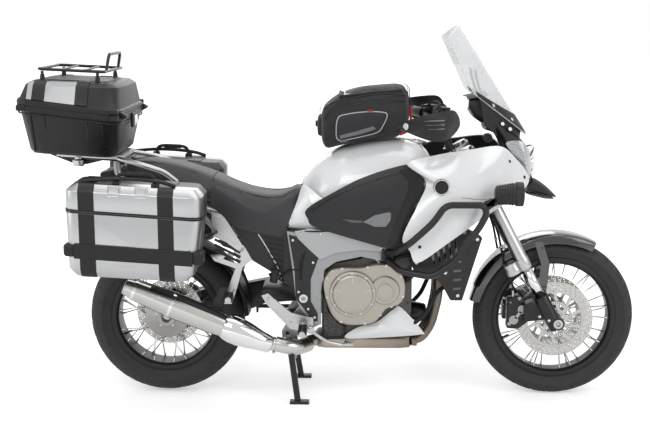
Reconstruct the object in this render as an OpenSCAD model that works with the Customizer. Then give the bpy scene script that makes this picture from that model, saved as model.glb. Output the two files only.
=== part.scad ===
// Adventure touring motorcycle with a top case, two side cases and a tank bag.
// Millimetres. +X is forward, +Y is the left side, +Z is up, and the ground is at z = 0.
// Tables of outline points hold [x, z] or [x, y, z], with x counted forward from the rear axle.

/* [Wheels] */
// Distance between the axles
wheelbase = 1595; // [1540:5:1650]
// Radius of the front tyre
front_tyre_r = 329; // [320:1:335]
// Width of the front tyre
front_tyre_w = 110; // [100:1:116]
// Radius of the front rim at the tyre's bead
front_rim_r = 241; // [235:1:250]
// Radius of the rear tyre
rear_tyre_r = 321; // [312:1:326]
// Width of the rear tyre
rear_tyre_w = 150; // [135:1:156]
// Radius of the rear rim at the tyre's bead
rear_rim_r = 216; // [210:1:224]
// Height of the rear tyre above the ground while the bike is on its centre stand
rear_lift = 6; // [4:1:12]
// Radius of a wire spoke
spoke_r = 2; // [1.5:0.5:3]
// Radius of the front brake discs
front_disc_r = 155; // [145:1:160]
// Radius of the rear brake disc
rear_disc_r = 138; // [125:1:145]

/* [Steering] */
// Angle of the steering axis from upright, in degrees
rake = 28; // [27:0.5:29]
// Distance that the steering axis meets the ground ahead of the front axle
trail = 107; // [100:1:112]
// Distance of the fork legs ahead of the steering axis
fork_offset = 49; // [45:1:55]
// Distance between the centres of the fork legs
fork_span = 230; // [226:1:236]
// Radius of the outer fork tubes
fork_tube_r = 27; // [25:1:28]
// Radius of the head tube
head_tube_r = 36; // [34:1:40]
// Distance from the middle of the bike to a grip's end
bar_half = 440; // [420:5:455]

/* [Frame] */
// Distance from the middle of the bike to the inner face of a frame plate
plate_in = 150; // [150:1:154]
// Thickness of a frame plate
plate_t = 32; // [24:1:34]
// Radius of the rear frame's tubes
subframe_r = 13; // [10:1:14]
// Radius of the crash bar's tube
crash_bar_r = 13; // [11:0.5:14]

/* [Stands] */
// Height of the centre stand's pivot
stand_pivot_z = 290; // [285:1:295]
// Distance from the middle of the bike to the middle of a centre stand foot
stand_foot_y = 167; // [160:1:170]
// Length of the side stand
side_stand_len = 272; // [255:1:280]

/* [Luggage] */
// Wall of the top case and side cases
case_wall = 4; // [3:0.5:5]
// Half of the top case's width at its seam
top_case_half_w = 280; // [260:5:290]
// Distance from the middle of the bike to a side case's outer face
side_case_out = 500; // [480:5:505]
// Distance from the middle of the bike to a side case's inner face
side_case_in = 275; // [275:1:285]
// Gap between a lid and its case
lid_gap = 0.5; // [0.3:0.1:1]
// Radius of the lid rack's tube
rack_r = 6; // [5:0.5:7]

/* [Hidden] */

// Small gap between pieces that are seated on each other
seat_gap = 0.3;
x_front = wheelbase + front_tyre_r;
x_rear = -527;
// The whole is drawn about the middle of its length
x_mid = (x_front + x_rear) / 2;
rear_axle = [0, 0, rear_tyre_r + rear_lift];
front_axle = [wheelbase, 0, front_tyre_r];
leg_y = fork_span / 2;
axle_offset = (front_tyre_r * tan(rake) - trail) * cos(rake);
axle_along = front_tyre_r * cos(rake) + trail * sin(rake);
pivot = [571, 442];

// ---------- helpers ----------

module placed() translate([-x_mid, 0, 0]) children();
module both_sides() { children(); mirror([0, 1, 0]) children(); }
// Stands the outline, drawn in x and z, between two distances from the middle
module upright(y0, y1) translate([0, y1, 0]) rotate([90, 0, 0]) linear_extrude(y1 - y0) children();
module plate(y0, y1, outline) upright(y0, y1) polygon(outline);
// Turns a radius-and-width outline about a wheel's axle
module turned(centre) translate(centre) rotate([90, 0, 0]) rotate_extrude($fn = 96) children();
module cross_shaft(x, z, y0, y1, r) translate([x, y1, z]) rotate([90, 0, 0]) cylinder(r = r, h = y1 - y0, $fn = 48);
// A place given ahead of the steering axis, to the left of it and up along it
function steer(ahead, y, up) = [wheelbase + trail - up * sin(rake) + ahead * cos(rake), y,
    up * cos(rake) + ahead * sin(rake)];
module on_steering() translate([wheelbase + trail, 0, 0]) rotate([0, -rake, 0]) children();

module rod(a, b, r, sides = 32) {
    d = b - a;
    translate(a) rotate([0, acos(d.z / norm(d)), atan2(d.y, d.x)])
        cylinder(r = r, h = norm(d), $fn = sides);
}

// A welded tube run, with a slightly larger ball at each bend
module welded(points, r) {
    for (i = [1:len(points) - 1]) rod(points[i - 1], points[i], r);
    if (len(points) > 2) for (i = [1:len(points) - 2]) translate(points[i]) sphere(r = r + 1, $fn = 32);
}

function unit(v) = v / norm(v);
// A path whose corners are rounded, each starting at a distance "cut" from its corner
function rounded(p, cut, n = 4) = concat([p[0]], [
    for (i = [1:len(p) - 2])
        let (a = p[i] + unit(p[i - 1] - p[i]) * cut, b = p[i] + unit(p[i + 1] - p[i]) * cut)
            for (k = [0:n]) let (t = k / n)
                (1 - t) * (1 - t) * a + 2 * t * (1 - t) * p[i] + t * t * b
], [p[len(p) - 1]]);

function tangents(p) = [for (i = [0:len(p) - 1])
    unit(p[min(i + 1, len(p) - 1)] - p[max(i - 1, 0)])];
function square_to(v, t) = unit(v - (v * t) * t);
function carried(t, start) = [
    for (i = 0, v = square_to(start, t[0]); i < len(t);
         i = i + 1, v = i < len(t) ? square_to(v, t[i]) : v) v];

// A closed skin through rings of equally many points, capped at both ends
module skin(rings) {
    n = len(rings[0]);
    last = len(rings) - 1;
    polyhedron(
        points = [for (ring = rings) for (p = ring) p],
        faces = concat(
            [[for (j = [0:n - 1]) j]],
            [for (i = [0:last - 1]) for (j = [0:n - 1]) for (half = [0, 1])
                let (a = i * n + j, b = i * n + (j + 1) % n)
                    half == 0 ? [a, a + n, b] : [b, a + n, b + n]],
            [[for (j = [n - 1:-1:0]) last * n + j]]));
}

// A smooth tube along a path; radii may be one number or one for each point
module pipe(path, r, sides = 10) {
    t = tangents(path);
    v = carried(t, abs(t[0].z) > 0.8 ? [1, 0, 0] : [0, 0, 1]);
    skin([for (i = [0:len(path) - 1])
        let (w = cross(t[i], v[i]), ri = is_list(r) ? r[i] : r)
            [for (j = [0:sides - 1]) let (a = 360 * j / sides)
                path[i] + ri * (cos(a) * v[i] + sin(a) * w)]]);
}

// Ring of a loft along x: a rounded section between two heights
// row = [x, low, high, half width, width share at the top]
function x_ring(row, sides = 24, power = 0.6) = [for (j = [0:sides - 1])
    let (a = 360 * j / sides, c = cos(a), s = sin(a),
         up = sign(s) * pow(abs(s), power),
         half = row[3] * (up > 0 ? 1 - (1 - row[4]) * up : 1))
        [row[0], half * sign(c) * pow(abs(c), power), (row[1] + row[2]) / 2 + (row[2] - row[1]) / 2 * up]];
module x_loft(rows, sides = 24, power = 0.6) skin([for (row = rows) x_ring(row, sides, power)]);

// Ring of a case: a rectangle with rounded corners whose height slopes along x
// row = [x0, x1, y0, y1, height at x0, height at x1, corner radius]
function case_ring(row, n = 4) = [
    for (corner = [[1, 1, 0], [0, 1, 90], [0, 0, 180], [1, 0, 270]]) for (k = [0:n - 1])
        let (a = corner[2] + 90 * k / (n - 1), c = row[6],
             x = (corner[0] == 1 ? row[1] - c : row[0] + c) + c * cos(a),
             y = (corner[1] == 1 ? row[3] - c : row[2] + c) + c * sin(a))
            [x, y, row[4] + (row[5] - row[4]) * (x - row[0]) / (row[1] - row[0])]];
// The same row moved in by a wall, and up or down
function inset(row, wall, up) = let (drop = wall * (row[5] - row[4]) / (row[1] - row[0]))
    [row[0] + wall, row[1] - wall, row[2] + wall, row[3] - wall,
     row[4] + drop + up, row[5] - drop + up, max(row[6] - wall, 2)];
function mirrored(row) = [row[0], row[1], -row[3], -row[2], row[4], row[5], row[6]];

// A thin crowned panel fanned out from its middle; edge points and middle are [x, y, z]
module shield(edge, middle, thick, bulge = 8) {
    n = len(edge);
    steps = [1, 0.75, 0.4];
    layer = function (off) concat(
        [for (k = steps) for (p = edge)
            middle + (p - middle) * k + (1 - k * k) * bulge * unit(thick) * -1 + off],
        [middle - bulge * unit(thick) + off]);
    count = 3 * n + 1;
    points = concat(layer([0, 0, 0]), layer(thick));
    rows = [for (i = [0:1]) for (j = [0:n - 1]) for (half = [0, 1])
        let (a = i * n + j, b = i * n + (j + 1) % n)
            half == 0 ? [a, b, a + n] : [b, b + n, a + n]];
    tip = [for (j = [0:n - 1]) [2 * n + j, 2 * n + (j + 1) % n, 3 * n]];
    outer = concat(rows, tip);
    inner = [for (f = outer) [f[2] + count, f[1] + count, f[0] + count]];
    rim = [for (j = [0:n - 1]) for (half = [0, 1]) let (b = (j + 1) % n)
        half == 0 ? [j, j + count, b] : [b, j + count, b + count]];
    polyhedron(points = points, faces = concat(outer, inner, rim));
}

// A closed sheet: a grid of points and the same grid moved by its thickness
module sheet(grid, thick) {
    rows = len(grid);
    n = len(grid[0]);
    count = rows * n;
    front = [for (i = [0:rows - 2]) for (j = [0:n - 2]) for (half = [0, 1])
        let (a = i * n + j) half == 0 ? [a, a + n, a + 1] : [a + 1, a + n, a + n + 1]];
    rim = concat(
        [for (j = [0:n - 2]) [j, j + 1]], [for (i = [0:rows - 2]) [i * n + n - 1, (i + 1) * n + n - 1]],
        [for (j = [n - 2:-1:0]) [(rows - 1) * n + j + 1, (rows - 1) * n + j]],
        [for (i = [rows - 2:-1:0]) [(i + 1) * n, i * n]]);
    polyhedron(
        points = concat([for (row = grid) for (p = row) p], [for (row = grid) for (p = row) p + thick]),
        faces = concat(front, [for (f = front) [f[2] + count, f[1] + count, f[0] + count]],
            [for (e = rim) [e[0], e[1], e[0] + count]], [for (e = rim) [e[1], e[1] + count, e[0] + count]]));
}

// ---------- wheels ----------

// Half outline of a tyre's round crown and its beads
function tyre_outline(r, w, rim_r, rim_w) = concat(
    [[rim_r + seat_gap, -rim_w / 2 + seat_gap], [rim_r + 11, -rim_w / 2 + seat_gap]],
    [for (a = [-84:14:84]) [r - 0.42 * w + 0.42 * w * cos(a), w / 2 * sin(a)]],
    [[rim_r + 11, rim_w / 2 - seat_gap], [rim_r + seat_gap, rim_w / 2 - seat_gap]]);
function rim_outline(rim_r, rim_w) = [
    [rim_r - 17, -rim_w / 2 + 8], [rim_r - 8, -rim_w / 2 - 6], [rim_r + 10, -rim_w / 2 - 6],
    [rim_r + 10, -rim_w / 2], [rim_r, -rim_w / 2], [rim_r, rim_w / 2],
    [rim_r + 10, rim_w / 2], [rim_r + 10, rim_w / 2 + 6], [rim_r - 8, rim_w / 2 + 6],
    [rim_r - 17, rim_w / 2 - 8]];

front_rim_w = 70;
rear_rim_w = 108;
front_hub_half = 56;
spoke_clear = 1;

// Crossed spokes from two hub flanges, at hub_y, to the rim's inner wall, at rim_y
module spokes(centre, count, hub_r, hub_y, rim_r, rim_y, lean) {
    translate(centre) for (side = [-1, 1]) for (i = [0:count - 1]) {
        a = 360 * (i + side / 4) / count;
        b = a + (i % 2 == 0 ? lean : -lean);
        y = side < 0 ? hub_y[0] : hub_y[1];
        from = [(hub_r + spoke_clear) * cos(a), y, (hub_r + spoke_clear) * sin(a)];
        to = [(rim_r - spoke_clear) * cos(b), side * rim_y, (rim_r - spoke_clear) * sin(b)];
        rod(from, to, spoke_r, 16);
    }
}

module front_tyre() color("#1d1d1e") placed() turned(front_axle)
    polygon(tyre_outline(front_tyre_r, front_tyre_w, front_rim_r, front_rim_w));
module front_rim() color("#141415") placed() turned(front_axle) polygon(rim_outline(front_rim_r, front_rim_w));
module front_spokes() color("silver") placed()
    spokes(front_axle, 18, 47, [-34, 34], front_rim_r - 17, 22, 16);
module front_hub() color("#2a2a2c") placed() turned(front_axle)
    polygon([[12.2, -front_hub_half], [26, -front_hub_half], [30, -40], [47, -38], [47, -30], [30, -26],
        [30, 26], [47, 30], [47, 38], [30, 40], [26, front_hub_half], [12.2, front_hub_half]]);

module disc_plate(r, thick, inner_r, window_r, window_at, count) difference() {
    cylinder(r = r, h = thick, $fn = 96);
    translate([0, 0, -1]) cylinder(r = inner_r, h = thick + 2, $fn = 48);
    for (i = [0:count - 1]) rotate(360 * i / count) translate([window_at, 0, -1])
        cylinder(r = window_r, h = thick + 2, $fn = 24);
}
disc_t = 5;
module front_discs() color("#b9b9b6") placed() both_sides()
    translate([wheelbase, front_hub_half + disc_t, front_tyre_r]) rotate([90, 0, 0])
        disc_plate(front_disc_r, disc_t, 18, 20, 82, 8);

module rear_tyre() color("#1d1d1e") placed() turned(rear_axle)
    polygon(tyre_outline(rear_tyre_r, rear_tyre_w, rear_rim_r, rear_rim_w));
module rear_rim() color("#141415") placed() turned(rear_axle) polygon(rim_outline(rear_rim_r, rear_rim_w));
rear_hub_r = 92;
module rear_spokes() color("silver") placed()
    spokes(rear_axle, 18, rear_hub_r, [-26, 26], rear_rim_r - 17, 40, 18);
// The outline's second column points to the right side of the bike
module rear_hub() color("#a9a9a6") placed() turned(rear_axle)
    polygon([[22, -38], [60, -38], [66, -30], [rear_hub_r, -30], [rear_hub_r, 30], [76, 34], [40, 46],
        [40, 60], [22, 60]]);
module rear_disc() color("#b9b9b6") placed()
    translate([0, 38 + seat_gap + disc_t, rear_axle.z]) rotate([90, 0, 0])
        disc_plate(rear_disc_r, disc_t, 42, 12, 85, 10);

// ---------- fork and bars, drawn along the steering axis ----------

clamp_low = [900, 932];
clamp_high = [1112, 1140];
fork_top = 1150;
slider_top = 604;
leg_top = 470;
module at_legs() both_sides() translate([fork_offset, leg_y, 0]) children();
lug_in = 98.3;

module fork_legs() color("#1b1b1c") placed() {
    both_sides() difference() {
        union() {
            on_steering() translate([fork_offset, leg_y, 0])
                translate([0, 0, axle_along - 20]) cylinder(r = 29, h = leg_top - axle_along + 20, $fn = 48);
            cross_shaft(wheelbase, front_tyre_r, leg_y - 28, leg_y + 27, 26);
            plate(lug_in, lug_in + 14, [[1462, 330], [1460, 402], [1512, 424], [1550, 400], [1545, 340]]);
        }
        cross_shaft(wheelbase, front_tyre_r, leg_y - 40, leg_y + 60, 12);
    }
    difference() {
        cross_shaft(wheelbase, front_tyre_r, -leg_y - 30, leg_y + 30, 11.7);
        cross_shaft(wheelbase, front_tyre_r, -leg_y - 40, leg_y + 40, 7);
    }
}
module fork_sliders() color("#d8d8d8") placed() on_steering() at_legs()
    translate([0, 0, leg_top]) cylinder(r = 21, h = slider_top - leg_top, $fn = 48);
module fork_tubes() color("#b4b4b2") placed() on_steering() at_legs() {
    translate([0, 0, slider_top]) cylinder(r = fork_tube_r + 3, h = 46, $fn = 48);
    translate([0, 0, slider_top + 46]) cylinder(r = fork_tube_r, h = fork_top - slider_top - 46, $fn = 48);
}
module clamp_plate(span) difference() {
    translate([0, 0, span[0]]) linear_extrude(span[1] - span[0]) polygon([
        [-34, -40], [-34, 40], [20, leg_y + 34], [fork_offset + 34, leg_y + 38], [fork_offset + 34, leg_y - 30],
        [44, 0], [fork_offset + 34, -leg_y + 30], [fork_offset + 34, -leg_y - 38], [20, -leg_y - 34]]);
    at_legs() translate([0, 0, span[0] - 5]) cylinder(r = fork_tube_r + seat_gap, h = 80, $fn = 48);
}
stem_r = 24;
module triple_clamps() color("#1f1f20") placed() on_steering() {
    clamp_plate(clamp_low);
    clamp_plate(clamp_high);
    translate([0, 0, clamp_low[0] + 5]) cylinder(r = stem_r, h = clamp_high[1] - clamp_low[0] - 8, $fn = 48);
    both_sides() translate([4, 36, clamp_high[1] - 5]) cylinder(r = 14, h = bar_seat - clamp_high[1] + 5, $fn = 32);
}

// Half of the bar, from its middle to the grip's end
bar_x = wheelbase + trail - tan(rake) * 1084 + 4;
bar_seat = (wheelbase + trail - bar_x) * sin(rake) + 1087 * cos(rake) - 11 - seat_gap;
bar_points = [[bar_x, 0, 1087], [bar_x, 70, 1087], [1098, 150, 1128], [1072, 232, 1146], [955, bar_half, 1156]];
function flipped(points) = [for (i = [len(points) - 1:-1:0]) [points[i].x, -points[i].y, points[i].z]];
bar_path = rounded(concat(flipped(bar_points), [for (i = [1:len(bar_points) - 1]) bar_points[i]]), 26, 3);
grip_from = bar_points[3] + (bar_points[4] - bar_points[3]) * 0.36;
grip_to = bar_points[4];
module handlebar() color("#242425") placed() pipe(bar_path, 11, 16);
module bar_controls() color("#1a1a1b") placed() both_sides() difference() {
    union() {
        rod(grip_from, grip_to, 17);
        rod(bar_points[3] + (grip_from - bar_points[3]) * 0.15, grip_from - unit(grip_to - grip_from) * 3, 21);
        translate([1092, 236, 1160]) rotate([0, 0, -30]) cube([50, 42, 44], center = true);
        rod([1104, 248, 1152], [1028, 428, 1152], 6, 16);
    }
    rod(bar_points[3] - unit(grip_to - grip_from) * 60, grip_to + unit(grip_to - grip_from) * 60, 11.2);
    rod(bar_points[3] + (bar_points[3] - bar_points[2]) * 0.6, bar_points[2], 13.2);
    rod(bar_points[3] - unit(grip_to - grip_from) * 30, bar_points[3] + unit(grip_to - grip_from) * 28, 13.2);
}
module hand_guards() color("#191919") placed() both_sides()
    shield([[922, 459, 1160], [985, 459, 1188], [1080, 417, 1206], [1142, 359, 1206], [1164, 335, 1150],
        [1120, 369, 1102], [1060, 417, 1098], [975, 461, 1130]], [1070, 429, 1152], [-3, -4, 0], 8);

fender_out = 27;
module front_fender() color("#0c0c0d") placed() {
    translate(front_axle) rotate([90, 0, 0]) rotate([0, 0, 62]) rotate_extrude(angle = 106, $fn = 96)
        polygon([[front_tyre_r + 10, -68], [front_tyre_r + 22, -58], [front_tyre_r + fender_out, 0],
            [front_tyre_r + 22, 58], [front_tyre_r + 10, 68], [front_tyre_r + 7, 65],
            [front_tyre_r + 18, 54], [front_tyre_r + fender_out - 5, 0], [front_tyre_r + 18, -54],
            [front_tyre_r + 7, -65]]);
    both_sides() plate(66.5, leg_y - 29 - seat_gap, [[1478, 655], [1530, 662], [1572, 520], [1550, 424],
        [1512, 424], [1500, 520]]);
}
caliper_outline = [[1396, 300], [1440, 296], [1484, 330], [1480, 400], [1442, 436], [1397, 420]];
module front_calipers() color("#161617") placed() both_sides() difference() {
    plate(45, lug_in - seat_gap, caliper_outline);
    translate([wheelbase, front_hub_half + disc_t + 5.5, front_tyre_r]) rotate([90, 0, 0])
        cylinder(r = front_disc_r + 6, h = disc_t + 11, $fn = 96);
}
hose_points = [steer(24, 60, clamp_low[0] - seat_gap), steer(24, 62, 850), [1352, 74, 690], [1372, 86, 600],
    [1392, 88, 520], [1418, 82, 470], [1418, 82, 431]];
module brake_hoses() color("#101011") placed() both_sides() pipe(rounded(hose_points, 20, 2), 4.5, 8);

// ---------- frame and engine ----------

frame_outline = [[506, 715], [663, 688], [780, 674], [930, 642], [905, 592], [800, 614], [700, 592],
    [655, 560], [641, 480], [641, 336], [607, 336], [560, 400], [540, 442], [528, 560]];
stand_pivot = [505, stand_pivot_z];
side_stand_pivot = [628, 303];
side_stand_y = 192;
head_z = [948, 1096];
module main_frame() color("#8f9193") placed() difference() {
    union() {
        both_sides() {
            plate(plate_in, plate_in + plate_t, frame_outline);
            welded([[720, plate_in + 15, 660], [905, 148, 742], [1110, 66, 880], [1192, 20, 925]], 20);
            plate(plate_in - 9, plate_in + 5, [[484, 272], [524, 270], [641, 330], [641, 380], [560, 410],
                [500, 330], [482, 300]]);
        }
        // Seat of the side stand's pivot, at the left
        plate(plate_in + 10, plate_in + plate_t + 5, [[612, 346], [642, 346], [642, 288], [614, 288]]);
        at_side_stand() translate([0, 1, 0]) rotate([90, 0, 0]) cylinder(r = 11, h = 12, $fn = 32);
        // Rest for the tank, and the stay that carries the nose
        plate(-40, 40, [[580, 690], [606, 690], [640, 740], [640, tank_low - seat_gap], [606, tank_low - seat_gap]]);
        both_sides() rod([1110, 60, 880], [1160, 272.7, 880], 6);
        rod(steer(28, 0, 1056), steer(183.4, 0, 1066), 14);
        cross_shaft(590, 690, -plate_in - 4, plate_in + 4, 16);
        cross_shaft(600, 365, -plate_in - 4, plate_in + 4, 14);
        on_steering() translate([0, 0, head_z[0]]) cylinder(r = head_tube_r, h = head_z[1] - head_z[0], $fn = 48);
    }
    on_steering() translate([0, 0, head_z[0] - 60]) cylinder(r = stem_r + 0.5, h = 330, $fn = 48);
    both_sides() cross_shaft(stand_pivot[0], stand_pivot[1], plate_in - 20, plate_in + 20, 8.3);
}
splay = 18;
module at_side_stand() translate([side_stand_pivot[0], side_stand_y, side_stand_pivot[1]])
    rotate([splay, 0, 0]) children();
rail_y = plate_in - subframe_r - seat_gap;
tail_y = 112;
tail_cross = [-136, 883];
module subframe() color("#9b9da0") placed() {
    both_sides() {
        pipe([[580, rail_y, 640], [300, 128, 760], [185, 116, 792], [-140, tail_y, 885], [-172, tail_y, 940],
            [-172, tail_y, 983.8]], subframe_r);
        pipe([[575, rail_y, 540], [305, 127, 628], [116, 115, 814]], subframe_r);
    }
    // The seat rests on a raised cross tube
    pipe([[290, -128, 762], [290, -100, 775], [290, -60, 781.8], [290, 60, 781.8], [290, 100, 775],
        [290, 128, 762]], 10);
    for (p = [[306, peg_plate_y - seat_gap, 628], [tail_cross[0], tail_y, tail_cross[1]]])
        pipe([[p.x, -p.y, p.z], p], 10);
}
module frame_guards() color("#2a2b2d") placed() both_sides() difference() {
    plate(plate_in + plate_t + seat_gap, plate_in + plate_t + 5, [[514, 702], [560, 690], [632, 610], [600, 520],
        [600, 430], [628, 380], [628, 350], [610, 348], [566, 410], [540, 442], [536, 560]]);
    cross_shaft(pivot[0], pivot[1], plate_in, plate_in + plate_t + 10, 20);
}

drive_y = [66, 128];
module swingarm() color("#2b2c2e") placed() {
    translate([0, drive_y[1], rear_axle.z]) rotate([90, 0, 0])
        cylinder(r = 86, h = drive_y[1] - drive_y[0], $fn = 64);
    plate(86, 132, [[10, 262], [330, 322], [500, 398], [560, 412], [560, 474], [480, 470], [300, 434], [0, 396]]);
    plate(-100, 100, [[400, 400], [560, 414], [560, 472], [400, 456]]);
    cross_shaft(pivot[0], pivot[1], -plate_in + seat_gap, plate_in - seat_gap, 34);
    cross_shaft(0, rear_axle.z, -34, drive_y[0] + 4, 21.5);
}
shock_foot = [470, 0, 472];
shock_eye = [590, 0, 690];
module shock() color("#c9c9c9") placed() {
    up = unit(shock_eye - shock_foot);
    rod(shock_foot, shock_foot + up * 80, 16);
    rod(shock_foot + up * 78, shock_foot + up * 200, 33);
    rod(shock_foot + up * 198, shock_eye - up * 16.6, 16);
}
module rear_fender() color("#161617") placed() {
    plate(77.5, 86 - seat_gap, [[262, 524], [304, 508], [330, 440], [280, 424]]);
    translate(rear_axle) rotate([90, 0, 0]) rotate([0, 0, 2]) rotate_extrude(angle = 108, $fn = 96)
        polygon([[rear_tyre_r + 8, -80], [rear_tyre_r + 20, -70], [rear_tyre_r + 24, 0], [rear_tyre_r + 20, 70],
            [rear_tyre_r + 8, 80], [rear_tyre_r + 6, 77], [rear_tyre_r + 16, 67], [rear_tyre_r + 20, 0],
            [rear_tyre_r + 16, -67], [rear_tyre_r + 6, -77]]);
}

engine_half = plate_in - seat_gap;
module engine() color("#5b5a56") placed() {
    plate(-engine_half, engine_half, [[648, 400], [690, 312], [760, 290], [960, 300], [1004, 380], [1004, 580],
        [1064, 620], [1064, 684], [1012, 716], [846, 664], [800, 600], [700, 582], [660, 552], [646, 480]]);
}
clutch = [767, 468];
water_pump = [895, 482];
cover_outline = [[650, 500], [672, 555], [720, 572], [800, 574], [850, 585], [905, 586], [950, 560],
    [975, 520], [975, 455], [950, 420], [905, 405], [880, 375], [850, 345], [780, 335], [715, 345], [672, 400]];
module clutch_cover() color("#9c968b") placed() {
    plate(-engine_half - 50, -engine_half - seat_gap, cover_outline);
    cross_shaft(clutch[0], clutch[1], -engine_half - 86, -engine_half - 50, 93);
    cross_shaft(water_pump[0], water_pump[1], -engine_half - 66, -engine_half - 50, 58);
}
module generator_cover() color("#9c968b") placed() {
    plate(engine_half + seat_gap, engine_half + 40, cover_outline);
    cross_shaft(880, 482, engine_half + 40, engine_half + 66, 78);
}
module lower_brackets() color("#202021") placed() both_sides()
    plate(engine_half + seat_gap, engine_half + 20, [[646, 470], [666, 392], [712, 338], [742, 322], [730, 272],
        [650, 268], [644, 330]]);
module belly_covers() color("#d9dadb") placed() both_sides()
    shield([for (p = [[738, 272], [790, 318], [862, 338], [930, 392], [962, 400], [1048, 304], [1040, 288],
        [900, 276]]) [p[0], engine_half + 5 + seat_gap, p[1]]], [930, engine_half + 16, 320], [0, -5, 0], 6);

cat = [[620, 1012], [198, 262], 78];
header_points = [[1064 + seat_gap, 80, 650], [1104, 80, 650], [1118, 74, 560], [1116, 62, 420], [1090, 50, 300],
    [1052, 48, 244], [cat[0][1] + seat_gap, 48, 232]];
link_points = [[cat[0][0] - seat_gap, -44, 232], [580, -80, 232], [545, -180, 238], [500, -206, 250],
    [440, -210, 264], [342, -232, 306]];
module header_pipes() color("#8d7760") placed() {
    for (i = [-1, 0, 1]) pipe([for (p = rounded(header_points, 30, 2)) [p.x, p.y * i, p.z]], 19, 10);
    translate([cat[0][0], 0, 0]) rotate([90, 0, 90]) linear_extrude(cat[0][1] - cat[0][0])
        polygon([[-cat[2], 216], [-cat[2] + 18, cat[1][0]], [cat[2] - 18, cat[1][0]], [cat[2], 216],
            [cat[2], 244], [cat[2] - 18, cat[1][1]], [-cat[2] + 18, cat[1][1]], [-cat[2], 244]]);
    pipe(rounded(link_points, 26, 3), 25, 12);
}
// Silencer rows: share of the length, half height, half width
silencer_from = [338, -233, 308];
silencer_to = [-122, -252, 507];
silencer_rows = [[0, 28, 28], [0.06, 40, 38], [0.3, 50, 46], [0.6, 53, 48], [0.9, 44, 42], [1, 36, 36]];
module silencer() color("#d2d2cf") placed() {
    axis = unit(silencer_to - silencer_from);
    side = unit(cross(axis, [0, 0, 1]));
    up = cross(side, axis);
    skin([for (row = silencer_rows) let (c = silencer_from + (silencer_to - silencer_from) * row[0])
        [for (j = [0:23]) let (a = -15 * j) c + side * row[2] * cos(a) + up * row[1] * sin(a)]]);
}

radiator_box = [[1146, 1184], [470, 712], 187];
module radiator() color("#2d2e30") placed() {
    plate(-radiator_box[2], radiator_box[2], [[radiator_box[0][0] - 20, 712], [radiator_box[0][1] - 20, 716],
        [radiator_box[0][1], 474], [radiator_box[0][0], 470]]);
    both_sides() rod([1140, 90, 706], [1086, 90, 838.5], 7, 16);
}
module radiator_cowls() color("#242527") placed() both_sides()
    plate(radiator_box[2] + seat_gap, radiator_box[2] + 40, [[989, 601], [1060, 660], [1206, 738], [1272, 700],
        [1197, 448], [1152, 448], [1112, 520], [1080, 540], [1012, 560]]);

// ---------- bodywork ----------

// Tank rows: x, low, high, half width, width share at the top
tank_low = 750;
tank_rows = [[566, 800, 893, 70, 0.8], [600, tank_low, 940, 118, 0.72], [650, tank_low, 990, 160, 0.66],
    [730, tank_low, 1038, 188, 0.62], [830, tank_low + 12, 1060, 196, 0.6], [930, 800, 1068, 194, 0.6],
    [1010, 838, 1056, 176, 0.6], [1060, 880, 1022, 140, 0.65], [1082, 910, 990, 90, 0.8]];
module tank() color("#e9eaec") placed() {
    x_loft(tank_rows, 28);
    both_sides() cross_shaft(850, 820, 150, panel_y + 21.9, 5);
}
panel_y = 203;
module tank_panels() color("#2c2d30") placed() both_sides()
    shield([[586, panel_y - 18, 806], [700, panel_y + 2, 880], [820, panel_y + 4, 940], [972, panel_y - 4, 984],
        [1010, panel_y, 968], [1044, panel_y + 8, 918], [1010, panel_y + 22, 830], [953, panel_y + 30, 708],
        [923, panel_y + 26, 656], [760, panel_y + 16, 694], [616, panel_y - 4, 736], [590, panel_y - 14, 765]],
        [850, panel_y + 18, 820], [0, -5, 0], 10);

seat_rows = [[-168, 914, 945, 60, 0.9], [-140, 907, 975, 84, 0.86], [-60, 886, 985, 106, 0.84],
    [60, 852, 968, 124, 0.82], [190, 818, 928, 140, 0.8], [300, 790, 879, 152, 0.78],
    [400, 772, 848, 156, 0.78], [480, 768, 846, 142, 0.78], [540, 790, 872, 104, 0.8], [561, 808, 884, 74, 0.85]];
module seat() color("#303033") placed() x_loft(seat_rows, 28, 0.5);
module side_covers() color("#232426") placed() both_sides()
    plate(plate_in, plate_in + 18, [[293, 728], [360, 742], [440, 728], [505.5, 714], [527.3, 560], [536.4, 470],
        [484, 520], [368, 592]]);

cowl_y = 268;
module side_cowls() color("#eceded") placed() both_sides()
    shield([[975, 212, 988], [1083, 226, 1024], [1210, 232, 1046], [1333, 206, 1057], [1400, 172, 1006],
        [1456, 146, 932], [1436, 172, 884], [1350, 226, 832], [1262, 262, 780], [1140, 286, 696],
        [1018, 292, 614], [986, 290, 660], [958, 282, 712], [1013, 258, 830], [1048, 226, 921]],
        [1160, 272, 880], [0, -5, 0], 8);

// Nose rows: x, low, high, half width, width share at the top
nose_rows = [[1292, 1104, 1208, 104, 0.9], [1340, 1080, 1160, 124, 0.85], [1384, 990, 1120, 122, 0.8],
    [1430, 890, 1076, 112, 0.8], [1462, 872, 1042, 98, 0.8]];
module nose_cowl() color("#1c1c1d") placed() {
    x_loft(nose_rows, 24);
    // Two pads behind the screen's foot
    both_sides() {
        sheet([for (v = [0, 0.125]) [for (u = [0.4, 0.6]) screen_point(u, v) - [screen_t + 0.5, 0, 0]]], [-5, 0, 0]);
        plate(83.5, 86.5, [[1366, 1100], [1392, 1100], [1397.5, 1128], [1386.5, 1146], [1380, 1146]]);
    }
}
module headlight() color("#c9d2d8") placed()
    x_loft([[1462 + seat_gap, 906, 1040, 94, 0.8], [1482, 914, 1022, 86, 0.8], [1496, 926, 996, 66, 0.8],
        [1503, 946, 974, 36, 0.8]], 24);
module beak() color("#2a2a2b") placed()
    x_loft([[1462 + seat_gap, 856, 900, 84, 0.8], [1500, 850, 904, 76, 0.7], [1550, 836, 872, 52, 0.7],
        [1591, 824, 833, 12, 0.8]], 20);

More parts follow.
